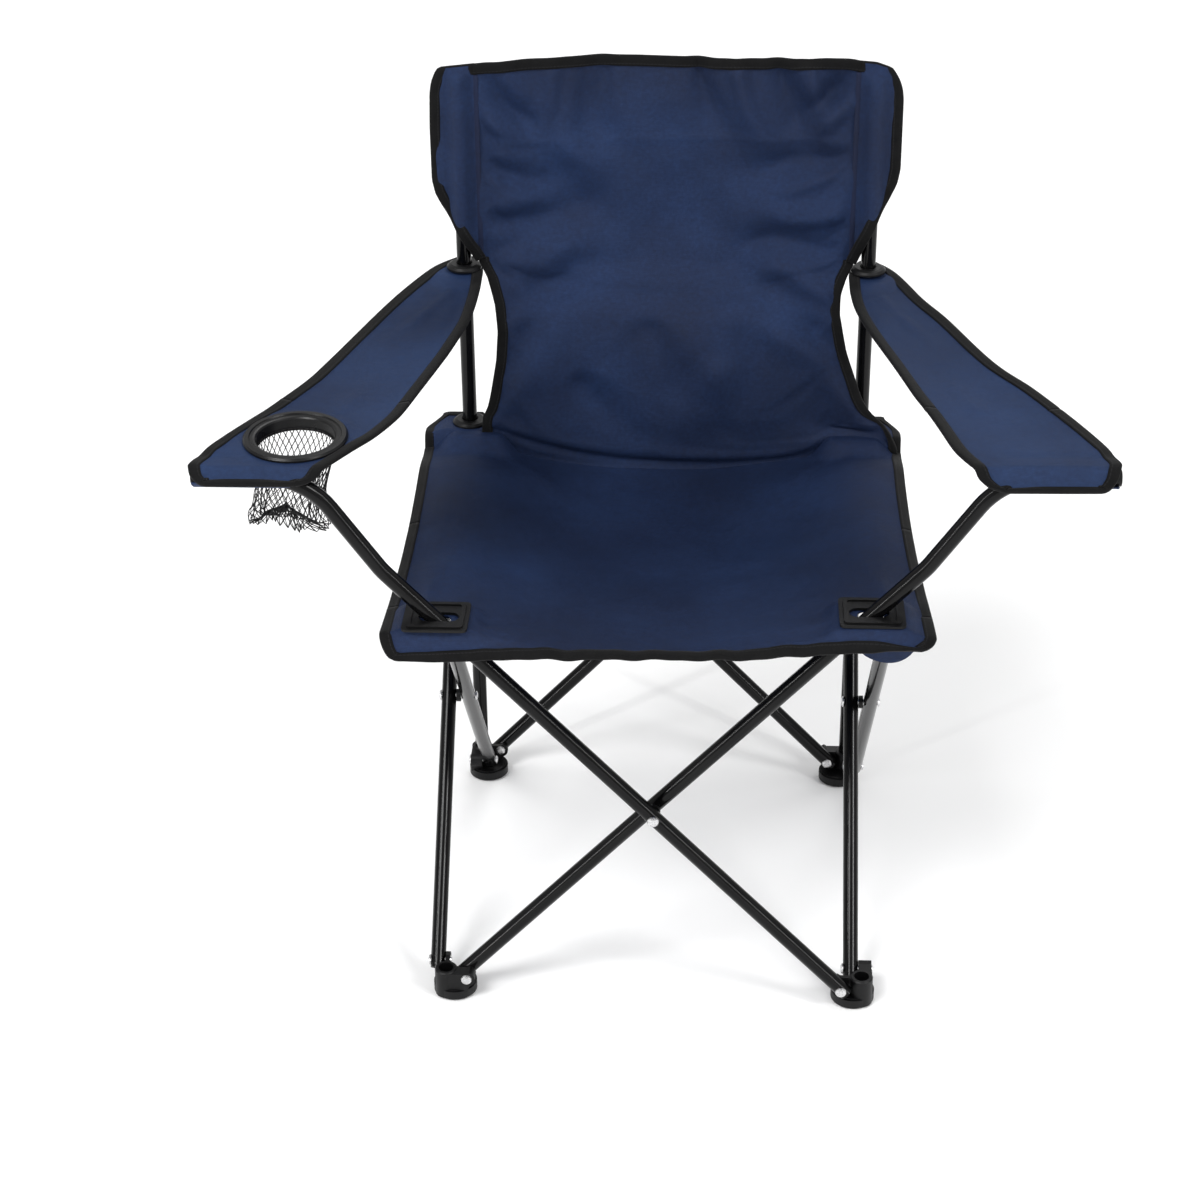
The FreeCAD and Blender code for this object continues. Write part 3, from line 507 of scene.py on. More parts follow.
def cloth_sim(P, pin, steps=24, gravity=1.0, tension=18.0, bending=0.25, mass=0.25, shrink=0.0, damping=4.0):
    """Lets the grid hang from its pinned points, and gives the settled grid back."""
    nu, nv = P.shape[:2]
    idx = np.arange(nu * nv).reshape(nu, nv)
    faces = np.stack([idx[:-1, :-1], idx[1:, :-1], idx[1:, 1:], idx[:-1, 1:]], -1).reshape(-1, 4)
    me = bpy.data.meshes.new("sim")
    me.from_pydata([tuple(p) for p in P.reshape(-1, 3)], [], [tuple(int(i) for i in f) for f in faces])
    ob = bpy.data.objects.new("sim", me)
    scene.collection.objects.link(ob)
    vg = ob.vertex_groups.new(name="pin")
    flat = pin.reshape(-1)
    for w in np.unique(np.round(flat, 2)):
        if w > 0:
            vg.add([int(i) for i in np.where(np.abs(flat - w) < 0.006)[0]], float(w), "REPLACE")
    mod = ob.modifiers.new("cloth", "CLOTH")
    st = mod.settings
    st.quality = 6
    st.mass = mass
    st.tension_stiffness = tension
    st.compression_stiffness = tension * 0.6
    st.shear_stiffness = tension * 0.4
    st.bending_stiffness = bending
    st.tension_damping = damping
    st.compression_damping = damping
    st.shear_damping = damping
    st.air_damping = 2.0
    st.vertex_group_mass = "pin"
    st.shrink_min = shrink
    st.effector_weights.gravity = gravity
    mod.collision_settings.use_collision = False
    mod.collision_settings.use_self_collision = False
    mod.point_cache.frame_start = 1
    mod.point_cache.frame_end = steps
    for f in range(1, steps + 1):
        scene.frame_set(f)
    deps = bpy.context.evaluated_depsgraph_get()
    ev = ob.evaluated_get(deps)
    co = np.empty(len(ev.data.vertices) * 3)
    ev.data.vertices.foreach_get("co", co)
    bpy.data.objects.remove(ob)
    bpy.data.meshes.remove(me)
    scene.frame_set(1)
    return co.reshape(nu, nv, 3)


def sheet(ob, flat, area=None):
    """Prints that the piece is a cloth cut from a flat piece, with its flat size, its cut area and half its mesh's
    area. The area is that of the flat outline it is cut to, worked out from the outline and not from the finished
    mesh."""
    half = sum(p.area for p in ob.data.polygons) / 2
    print("SHEET", ob.name, "flat", flat, "cut", area or round(flat[0] * flat[1], 5), "mesh", round(half, 5))


# ------------------------------------------------------------------ seat
CLOTH_T = 0.0016
SIDE = 0.2515
FOLD_F, FOLD_M, SEAM = -0.180, 0.004, 0.184
NU = 141


def hem_y(x):
    return -0.2395 + 0.028 * np.clip(x, -0.25, 0.25)


def hem_z(x):
    return np.interp(x, [-0.25, -0.2, -0.14, 0.0, 0.10, 0.18, 0.25], [0.4105, 0.4090, 0.4110, 0.4125, 0.4140, 0.4185, 0.4210])


def base_height(x, y):
    v = np.clip((y + 0.24) / 0.446, 0, 1)
    hump = np.sin(v * math.pi)
    sag_mid = 0.021 + 0.020 * hump + 0.0175 * smoothstep(v)
    sag_edge = 0.011 * hump ** 1.3 + 0.012 * smoothstep((v - 0.80) / 0.15)
    k = np.clip(np.abs(x) / 0.205, 0, 1.3)
    t = 1 - smoothstep(k ** 1.7)
    z = 0.4345 - sag_edge - (sag_mid - sag_edge) * t
    z = z - 0.007 * np.clip((np.abs(x) - 0.212) / 0.038, 0, 1) ** 1.4
    return z


def seat_height(x, y):
    z = base_height(x, y)
    # level under the two plates
    for sx, py in ((-1, -0.214), (1, -0.194)):
        dx = np.clip(np.abs(x - sx * 0.1985) - 0.026, 0, 1)
        dy = np.clip(np.abs(y - py) - 0.022, 0, 1)
        w = 1 - smoothstep(np.hypot(dx, dy) / 0.020)
        z = z * (1 - w) + 0.4349 * w
    # and over the rear sliders
    for sx in (-1, 1):
        dx = np.clip(np.abs(x - sx * 0.197) - 0.021, 0, 1)
        dy = np.clip(0.1765 - y, 0, 1)
        w = 1 - smoothstep(np.hypot(dx, dy) / 0.024)
        z = z * (1 - w) + 0.4347 * w
    t = np.clip((hem_y(x) + 0.013 - y) / 0.013, 0, 1)
    return z - np.maximum(0, z - hem_z(x)) * t ** 1.25


rows = np.concatenate([np.linspace(0, 1, 29), np.linspace(FOLD_F, FOLD_M, 33)[1:], np.linspace(FOLD_M, SEAM, 33)[1:]])
I_F, I_M = 28, 28 + 32
u = np.linspace(-1, 1, NU)
X = np.zeros((NU, len(rows)))
Y = np.zeros_like(X)
for j in range(len(rows)):
    for i in range(NU):
        x = u[i] * SIDE
        if j <= I_F:
            y0 = float(hem_y(x))
            s = rows[j]
            y = y0 + (FOLD_F - y0) * s ** 1.15
            d = max(0.0, (float(hem_y(math.copysign(0.25, x))) + 0.015) - y)
            half = SIDE - 0.015 + math.sqrt(max(0.0, 0.015 ** 2 - min(d, 0.015) ** 2))
            x = u[i] * half
        else:
            y = rows[j]
        X[i, j], Y[i, j] = x, y
lean = smoothstep((Y + 0.23) / 0.40)
X += np.clip(np.abs(X) / SIDE, 0, 1) ** 2 * np.where(X < 0, 0.0035 * (1 - lean), 0.0040 * (1 - lean) - 0.0050 * lean)
bow = np.where(X < 0, 0.0025, 0.0030) * np.sin(np.clip((Y + 0.23) / 0.41, 0, 1) * math.pi)
X += np.sign(X) * bow * np.clip(np.abs(X) / SIDE, 0, 1) ** 3 * -1.0
Z = seat_height(X, Y)
SEAT = np.stack([X, Y, Z], 2)
wr = field(SEAT, 8.0, 3.1, 3)
calm = np.ones_like(X)
for sx, py in ((-1, -0.214), (1, -0.194), (-1, 0.206), (1, 0.206)):
    dx = np.clip(np.abs(X - sx * 0.1985) - 0.030, 0, 1)
    dy = np.clip(np.abs(Y - py) - 0.027, 0, 1)
    calm *= smoothstep(np.hypot(dx, dy) / 0.03)
SEAT[:, :, 2] += wr * 0.0030 * calm
# pleats drawn in by the stitching along the hem and off the corner plates
near = np.exp(-((Y - hem_y(X)) / 0.022) ** 2)
SEAT[:, :, 2] += near * calm * (0.0006 * np.sin(X * 118 + 0.6) + 0.0005 * np.sin(X * 205 + 1.9))
for px, py, ang, amp, L in ((-0.166, -0.222, 8, 0.0022, 0.10), (-0.166, -0.205, 20, -0.0018, 0.12), (0.168, -0.198, 172, 0.0020, 0.10), (0.170, -0.180, 158, -0.0018, 0.12),
                            (-0.215, -0.180, 84, 0.0018, 0.12), (0.215, -0.160, 96, 0.0018, 0.12), (-0.17, 0.17, -40, 0.0022, 0.13), (0.19, 0.17, 215, 0.0022, 0.13)):
    a = math.radians(ang)
    s = (X - px) * math.cos(a) + (Y - py) * math.sin(a)
    t = -(X - px) * math.sin(a) + (Y - py) * math.cos(a)
    env = smoothstep(s / 0.012) * (1 - smoothstep((s - 0.2 * L) / (0.8 * L)))
    SEAT[:, :, 2] += amp * env * np.exp(-(t / (0.006 + 0.10 * np.clip(s, 0, 1))) ** 2)
SEAT_N = grid_normals(SEAT)
SEAT_UV = arc_uv(SEAT)


def seat_piece(name, j0, j1, body, node_name, slots=()):
    ob = shell(name, SEAT[:, j0:j1 + 1], SEAT_N[:, j0:j1 + 1], SEAT_UV[:, j0:j1 + 1], NAVY, CLOTH_T)
    for slot in slots:
        cut_slot(ob, *slot)
    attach(ob, body)
    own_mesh(ob)
    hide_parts(node_name)
    return ob


def edge_run(P, N, cells):
    """Path, inward direction and normal along a list of (i, j, di, dj) grid cells."""
    pts = np.array([P[i, j] for i, j, _, _ in cells])
    inn = np.array([P[i + di, j + dj] - P[i, j] for i, j, di, dj in cells])
    nor = np.array([N[i, j] for i, j, _, _ in cells])
    inn /= np.linalg.norm(inn, axis=1, keepdims=True) + 1e-12
    return pts, inn, nor


def apply_boolean(ob, cutter):
    mod = ob.modifiers.new("cut", "BOOLEAN")
    mod.operation = "DIFFERENCE"
    mod.solver = "EXACT"
    mod.object = cutter
    bpy.context.view_layer.update()
    deps = bpy.context.evaluated_depsgraph_get()
    me = bpy.data.meshes.new_from_object(ob.evaluated_get(deps))
    old = ob.data
    mats = [m for m in old.materials]
    ob.modifiers.clear()
    ob.data = me
    bpy.data.meshes.remove(old)
    cm = cutter.data
    bpy.data.objects.remove(cutter)
    bpy.data.meshes.remove(cm)
    me.materials.clear()
    for m in mats:
        me.materials.append(m)
    me.polygons.foreach_set("material_index", [0] * len(me.polygons))


def cut_slot(ob, x0, x1, y, r):
    """The slot that an arm support passes through."""
    bm = bmesh.new()
    n = 20
    ring = []
    for i in range(n // 2 + 1):
        a = math.radians(-90 + 180 * i / (n // 2))
        ring.append((x1 + r * math.cos(a), y + r * math.sin(a)))
    for i in range(n // 2 + 1):
        a = math.radians(90 + 180 * i / (n // 2))
        ring.append((x0 + r * math.cos(a), y + r * math.sin(a)))
    lowv = [bm.verts.new((px, py, 0.30)) for px, py in ring]
    topv = [bm.verts.new((px, py, 0.60)) for px, py in ring]
    bm.faces.new(lowv[::-1])
    bm.faces.new(topv)
    m = len(ring)
    for i in range(m):
        bm.faces.new((lowv[i], lowv[(i + 1) % m], topv[(i + 1) % m], topv[i]))
    bmesh.ops.recalc_face_normals(bm, faces=bm.faces)
    me = bpy.data.meshes.new("cutter")
    bm.to_mesh(me)
    bm.free()
    cutter = bpy.data.objects.new("cutter", me)
    scene.collection.objects.link(cutter)
    apply_boolean(ob, cutter)


ob_sf = seat_piece("seat_front_edge_cloth", 0, I_F, "front_left_seat_corner", "seat_front_edge",
                   [(-0.2008, -0.1942, -0.216, 0.0092), (0.1942, 0.2008, -0.196, 0.0092)])
ob_sm = seat_piece("seat_front_cloth", I_F, I_M, "seat_front_half", "seat_front_panel")
ob_sr = seat_piece("seat_rear_cloth", I_M, len(rows) - 1, "seat_rear_half", "seat_rear_panel")


def side_tape(name, j0, j1, side, body):
    i = 0 if side < 0 else NU - 1
    cells = [(i, j, 1 if side < 0 else -1, 0) for j in range(j0, j1 + 1)]
    p, inn, nor = edge_run(SEAT, SEAT_N, cells)
    p, (inn, nor) = resample(p, [inn, nor], 0.004)
    ob = tape(name, p, inn, nor, False)
    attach(ob, body)
    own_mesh(ob)
    return ob


cells = [(0, j, 1, 0) for j in range(I_F, 0, -1)] + [(i, 0, 0, 1) for i in range(0, NU)] + [(NU - 1, j, -1, 0) for j in range(1, I_F + 1)]
p, inn, nor = edge_run(SEAT, SEAT_N, cells)
c0, c1 = I_F, I_F + NU - 1
p, (inn, nor) = resample(p, [inn, nor], 0.0035)
inn = smooth_closed(inn, 3, False)
front_tape = tape("seat_front_tape", p, inn, nor, False, half=0.0024, wide=0.0105)
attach(front_tape, "front_left_seat_corner")
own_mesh(front_tape)
for side, tag in ((-1, "left"), (1, "right")):
    side_tape("seat_side_tape_front_" + tag, I_F, I_M, side, "seat_front_half")
    side_tape("seat_side_tape_rear_" + tag, I_M, len(rows) - 1, side, "seat_rear_half")

# a corner of the hub's pocket shows under the hem at the right
nx, nz = 25, 9
P = np.zeros((nx, nz, 3))
for i in range(nx):
    s = i / (nx - 1)
    x = 0.186 + 0.052 * s
    drop = 0.0195 * math.sqrt(max(0.0, 1 - (2 * s - 1) ** 2)) + 0.0015
    for j in range(nz):
        t = j / (nz - 1)
        P[i, j] = (x, -0.2215 + 0.004 * t + 0.0012 * math.sin(7 * s), 0.4205 - drop * t)
N = -grid_normals(P)
if N[12, 4, 1] > 0:
    N = -N
if np.sum(np.cross(P[1:, :-1] - P[:-1, :-1], P[:-1, 1:] - P[:-1, :-1]) * N[:-1, :-1]) < 0:
    P, N = P[::-1], N[::-1]
flap = shell("seat_corner_flap", P, N, arc_uv(P), NAVY, 0.0016)
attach(flap, "front_right_seat_corner")

# ------------------------------------------------------------------ back
Z0, Z1 = 0.398, 0.8295
ZP = 0.620
half_l = [(0.398, 0.190), (0.44, 0.188), (0.48, 0.180), (0.520, 0.1735), (0.550, 0.1715), (0.577, 0.1745), (0.602, 0.181), (ZP, 0.190), (0.9, 0.19)]
half_r = [(0.398, 0.243), (0.408, 0.242), (0.425, 0.234), (0.44, 0.223), (0.48, 0.203), (0.535, 0.186), (0.570, 0.1785), (0.590, 0.1785), (0.604, 0.1825), (ZP, 0.190), (0.9, 0.19)]
TOP_X = [-0.235, -0.223, -0.176, -0.12, -0.065, 0.013, 0.091, 0.14, 0.179, 0.205, 0.225, 0.235]
TOP_Z = [0.817, 0.821, 0.8262, 0.8280, 0.8292, 0.8283, 0.8272, 0.8290, 0.8306, 0.8285, 0.8215, 0.817]


def half_at(z, table_):
    zs, ws = zip(*table_)
    return np.interp(z, zs, ws)


def top_at(x):
    return np.interp(x, TOP_X, TOP_Z) - 0.0008


def back_depth(x, z):
    base = 0.1838 + (0.2045 - 0.1845) * smoothstep((z - 0.560) / 0.060)
    bow = 0.020 * smoothstep((z - 0.50) / 0.17) * (1 - np.clip(np.abs(x) / 0.19, 0, 1) ** 2.0)
    flare = -0.006 * smoothstep((x - 0.195) / 0.045) * smoothstep((0.47 - z) / 0.05)
    return base + bow + flare


NB, MB = 97, 121
split = (ZP - Z0) / (Z1 - Z0)
JP = int(round(split * (MB - 1)))
zrow = np.concatenate([np.linspace(Z0, ZP, JP + 1), np.linspace(ZP, Z1, MB - JP)[1:]])
u = np.linspace(-1, 1, NB)
BX = np.zeros((NB, MB))
for j, z in enumerate(zrow):
    wl, wr_ = float(half_at(z, half_l)), float(half_at(z, half_r))
    BX[:, j] = (wr_ - wl) / 2 + u * (wr_ + wl) / 2
BZ = np.broadcast_to(zrow[None, :], BX.shape).copy()
BZ = BZ + (top_at(BX) - Z1) * smoothstep((BZ - 0.70) / 0.13)
# its lower edge follows the seat's rear edge
low_z = np.interp(BX, SEAT[:, -1, 0], SEAT[:, -1, 2]) + 0.0004
BZ = BZ + (low_z - Z0) * (1 - smoothstep((np.broadcast_to(zrow[None, :], BX.shape) - Z0) / 0.075))
BACK = np.stack([BX, back_depth(BX, np.broadcast_to(zrow[None, :], BX.shape)), BZ], 2)


def folds(x, z):
    """Soft folds: off the pockets' seams and the waist, and a few hanging from the top edge."""
    y = np.zeros_like(x)
    rows_ = (
        # start x, z, direction in degrees (0 to the right, -90 down), width, depth, length
        (-0.186, 0.815, -52, 0.015, 0.0060, 0.26), (-0.186, 0.775, -30, 0.012, -0.0045, 0.18), (-0.188, 0.720, -14, 0.012, 0.0048, 0.15),
        (-0.186, 0.660, 2, 0.012, 0.0050, 0.16), (-0.180, 0.612, 14, 0.012, -0.0042, 0.14), (-0.172, 0.570, 26, 0.013, 0.0048, 0.16),
        (-0.176, 0.510, 44, 0.014, 0.0044, 0.15), (-0.186, 0.440, 58, 0.014, -0.0036, 0.12),
        (0.186, 0.822, -128, 0.014, 0.0062, 0.27), (0.184, 0.790, -148, 0.012, -0.0050, 0.20), (0.188, 0.735, -164, 0.012, 0.0052, 0.17),
        (0.187, 0.672, 180, 0.012, -0.0046, 0.15), (0.184, 0.630, 170, 0.012, 0.0054, 0.18), (0.178, 0.585, 157, 0.012, -0.0046, 0.15),
        (0.184, 0.530, 142, 0.014, 0.0050, 0.19), (0.215, 0.450, 128, 0.015, -0.0046, 0.17), (0.235, 0.420, 160, 0.012, 0.0034, 0.16),
        (0.030, 0.826, -76, 0.013, 0.0050, 0.13), (0.066, 0.824, -68, 0.012, -0.0046, 0.14), (0.105, 0.826, -62, 0.013, 0.0052, 0.16),
        (0.140, 0.828, -84, 0.011, -0.0040, 0.12), (-0.06, 0.826, -104, 0.016, 0.0036, 0.12), (-0.115, 0.824, -80, 0.014, -0.0034, 0.14),
        (-0.02, 0.560, -70, 0.020, 0.0034, 0.15), (0.06, 0.520, -110, 0.020, -0.0032, 0.14), (-0.09, 0.500, -62, 0.018, 0.0034, 0.12),
        (0.10, 0.640, -140, 0.018, 0.0036, 0.15))
    for k, (x0, z0, ang, wide, amp, length) in enumerate(rows_):
        a = math.radians(ang)
        dx, dz = math.cos(a), math.sin(a)
        s = (x - x0) * dx + (z - z0) * dz
        t = -(x - x0) * dz + (z - z0) * dx
        env = smoothstep(s / (0.18 * length) + 0.4) * (1 - smoothstep((s - 0.2 * length) / (0.8 * length)))
        env = np.where(s < -0.02, 0, env)
        w = wide * (0.75 + 1.2 * np.clip(s / length, 0, 1))
        bend = 0.18 * length * np.clip(s / length, 0, 1) ** 2 * math.sin(k * 2.3)
        q = (t - bend) / w
        y += amp * env * (np.exp(-q ** 2) - 0.35 * np.exp(-((q - 1.5) / 0.9) ** 2))
    return y


free = np.clip(1.12 - np.abs(u)[:, None] ** 10, 0, 1) * np.ones((1, MB))
free[:, 0:4] *= np.linspace(0.1, 1, 4)[None, :]
wr = field(BACK, 6.5, 11.7, 4, stretch=(1.0, 1.0, 0.55))
BACK[:, :, 1] += (folds(BX, BZ) * 1.8 + wr * 0.0085) * free
pinb = np.zeros(BACK.shape[:2])
pinb[0, JP:] = pinb[-1, JP:] = 1
pinb[:, 0] = 1
pinb[:, -1] = 0.9
pinb[0, :JP] = pinb[-1, :JP] = 0.4
start = BACK.copy()
sim = cloth_sim(BACK, pinb, steps=12, gravity=0.3, tension=30, bending=0.4)
d = sim - start
lim = np.linalg.norm(d, axis=2, keepdims=True)
BACK = start + d * np.minimum(1, 0.005 / np.maximum(lim, 1e-9)) * 0.7
# a flat seam across it, a little above the pockets' middle
zs_ = 0.7445 + 0.002 * np.sin(BACK[:, :, 0] * 14)
BACK[:, :, 1] -= 0.0011 * np.exp(-((BACK[:, :, 2] - zs_) / 0.0030) ** 2) * free
BACK[0, JP:, 0] = -0.19
BACK[-1, JP:, 0] = 0.19
BACK[0, JP:, 1] = 0.2040
BACK[-1, JP:, 1] = 0.2040
BACK_N = grid_normals(BACK)
if BACK_N[:, :, 1].mean() > 0:
    BACK_N = -BACK_N
BACK_UV = arc_uv(BACK)


def oriented(P, N, UV):
    s = np.sum(np.cross(P[1:, :-1] - P[:-1, :-1], P[:-1, 1:] - P[:-1, :-1]) * N[:-1, :-1])
    return (P, N, UV) if s > 0 else (P[::-1], N[::-1], UV[::-1])


back = shell("back_cloth", *oriented(BACK, BACK_N, BACK_UV), NAVY, CLOTH_T)
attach(back, "rear_left_leg")
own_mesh(back)
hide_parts("backrest_panel")
sheet(back, (0.44, 0.44), 0.1611)


def back_tape(name, cells, step=0.004, **kw):
    p, inn, nor = edge_run(BACK, BACK_N, cells)
    p, (inn, nor) = resample(p, [inn, nor], step)
    ob = tape(name, p, inn, nor, False, **kw)
    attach(ob, "rear_left_leg")
    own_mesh(ob)
    return ob


back_tape("back_waist_tape_left", [(0, j, 1, 0) for j in range(0, JP + 2)])
back_tape("back_waist_tape_right", [(NB - 1, j, -1, 0) for j in range(0, JP + 2)])
back_tape("back_top_tape", [(i, MB - 1, 0, -1) for i in range(0, NB)], half=0.0026, wide=0.0100)


def pocket(name, sx, body, node_name, table_):
    """The pocket over a post's top: a front and a rear layer, sewn together along the panel,
    up the outer side and over the top, and open below, where the post comes in."""
    zl = BACK[0 if sx < 0 else NB - 1, JP:, 2]
    nz = len(zl)
    nx = 37
    zt, wt = zip(*table_)
    outer = np.interp(zl, zt, wt)
    t = np.linspace(0, 1, nx)
    xs = 0.1895 + (outer[None, :] - 0.1895) * t[:, None]
    zs = np.broadcast_to(zl[None, :], xs.shape).copy()
    rise = smoothstep((zs - 0.76) / 0.06)
    zs += (top_at(sx * xs) - top_at(sx * 0.19 * np.ones_like(xs))) * rise
    # over the post the layers stand off it, and meet again beyond it
    across = np.exp(-(np.abs(xs - 0.206) / 0.0098) ** 2.6)
    taper = 1 - 0.80 * smoothstep((zs - 0.8115) / 0.010)
    closing = smoothstep((outer[None, :] - xs) / 0.007)
    edge = np.where(zs > 0.70, closing, 1.0) * smoothstep((xs - 0.1895) / 0.0060)
    h = 0.0011 + 0.0096 * across * taper * np.maximum(edge, 0.0)
    h *= 1 + 0.08 * np.sin(zs * 190 + sx) * rise
    wob = field(np.stack([xs * sx, zs, zs * 0], 2), 16.0, 5.0 * sx, 3) * 0.0016
    layers = []
    for sy in (-1, 1):
        P = np.stack([sx * xs, 0.2045 + sy * (h + np.abs(wob) * edge), zs], 2)
        N = grid_normals(P)
        if N[:, :, 1].mean() * sy < 0:
            N = -N
        layers.append((P, N))
    obs = []
    for k, (P, N) in enumerate(layers):
        obs.append(shell(name + "_%d" % k, *oriented(P, N, arc_uv(P)), NAVY, CLOTH_T))
    bm = bmesh.new()
    for o in obs:
        bm.from_mesh(o.data)
    me = bpy.data.meshes.new(name)
    bm.to_mesh(me)
    bm.free()
    me.materials.append(NAVY)
    for o in obs:
        dm = o.data
        bpy.data.objects.remove(o)
        bpy.data.meshes.remove(dm)
    ob = bpy.data.objects.new(name, me)
    scene.collection.objects.link(ob)
    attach(ob, body)
    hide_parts(node_name)
    mid_p = np.stack([sx * xs, np.full_like(xs, 0.2045), zs], 2)
    kz = int(np.argmin(np.abs(zl - 0.700)))
    F, FN = layers[0]
    R, RN = layers[1]

    def mix(L, k):
        w = float(smoothstep(np.array((zl[k] - 0.684) / 0.018)))
        return L[-1, k] * (1 - w) + mid_p[-1, k] * w
    path = [mix(F, k) for k in range(nz)] + [mid_p[i, -1] for i in range(nx - 2, -1, -1)]
    rear = [mix(R, k) for k in range(kz + 1)]

    def strip(pts, nm, sy, **kw):
        pts = np.array(pts)
        cen = np.array([sx * 0.19, 0.2045, 0.76])
        inn = []
        for k in range(len(pts)):
            a0, a1 = pts[max(0, k - 2)], pts[min(len(pts) - 1, k + 2)]
            td = (a1 - a0) / (np.linalg.norm(a1 - a0) + 1e-12)
            q = np.cross(np.array([0.0, sy, 0.0]), td)
            if np.dot(q, cen - pts[k]) < 0:
                q = -q
            inn.append(q)
        nor = np.tile(np.array([0.0, sy * 1.0, 0.0]), (len(pts), 1))
        pp, (ii, nn) = resample(pts, [np.array(inn), nor], 0.004)
        ii = smooth_closed(ii, 3, False)
        tp = tape(nm, pp, ii, nn, False, **kw)
        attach(tp, body)
        return tp
    strip(path, name + "_tape", -1, half=0.0028, wide=0.0098)
    strip(rear, name + "_rear_tape", 1, half=0.0022, wide=0.0090)
    # the seam that joins it to the panel, sewn with a double line of stitches, drawn as a narrow plain strip on a
    # slight ridge
    zz = np.linspace(ZP + 0.006, float(top_at(sx * 0.19)) - 0.010, 120)
    pts = np.stack([np.full_like(zz, sx * 0.1897), np.full_like(zz, 0.2030), zz], 1)
    strip_in = np.tile(np.array([-sx * 1.0, 0, 0]), (len(zz), 1))
    sn = np.tile(np.array([0.0, -1.0, 0]), (len(zz), 1))
    tp = tape(name + "_seam", pts, strip_in, sn, False, half=0.0007, wide=0.0042, out=0.0010, mat=SEAMCLOTH)
    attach(tp, body if sx < 0 else "rear_right_leg")
    return ob


pk_l = pocket("back_pocket_left", -1, "rear_left_leg", "backrest_sleeve_left",
              [(0.618, 0.1915), (0.630, 0.1970), (0.652, 0.2095), (0.668, 0.2180), (0.682, 0.2265), (0.692, 0.2315), (0.705, 0.2343), (0.76, 0.2343), (0.80, 0.2330), (0.812, 0.2312), (0.820, 0.2275), (0.827, 0.2215), (0.832, 0.2160)])
pk_r = pocket("back_pocket_right", 1, "rear_right_leg", "backrest_sleeve_right",
              [(0.618, 0.1915), (0.641, 0.2000), (0.657, 0.2075), (0.675, 0.2150), (0.690, 0.2230), (0.705, 0.2298), (0.720, 0.2323), (0.80, 0.2318), (0.812, 0.2305), (0.820, 0.2275), (0.827, 0.2220), (0.832, 0.2160)])

# ------------------------------------------------------------------ armrests
ARM_Z, TILT = 0.579, math.radians(2.6)


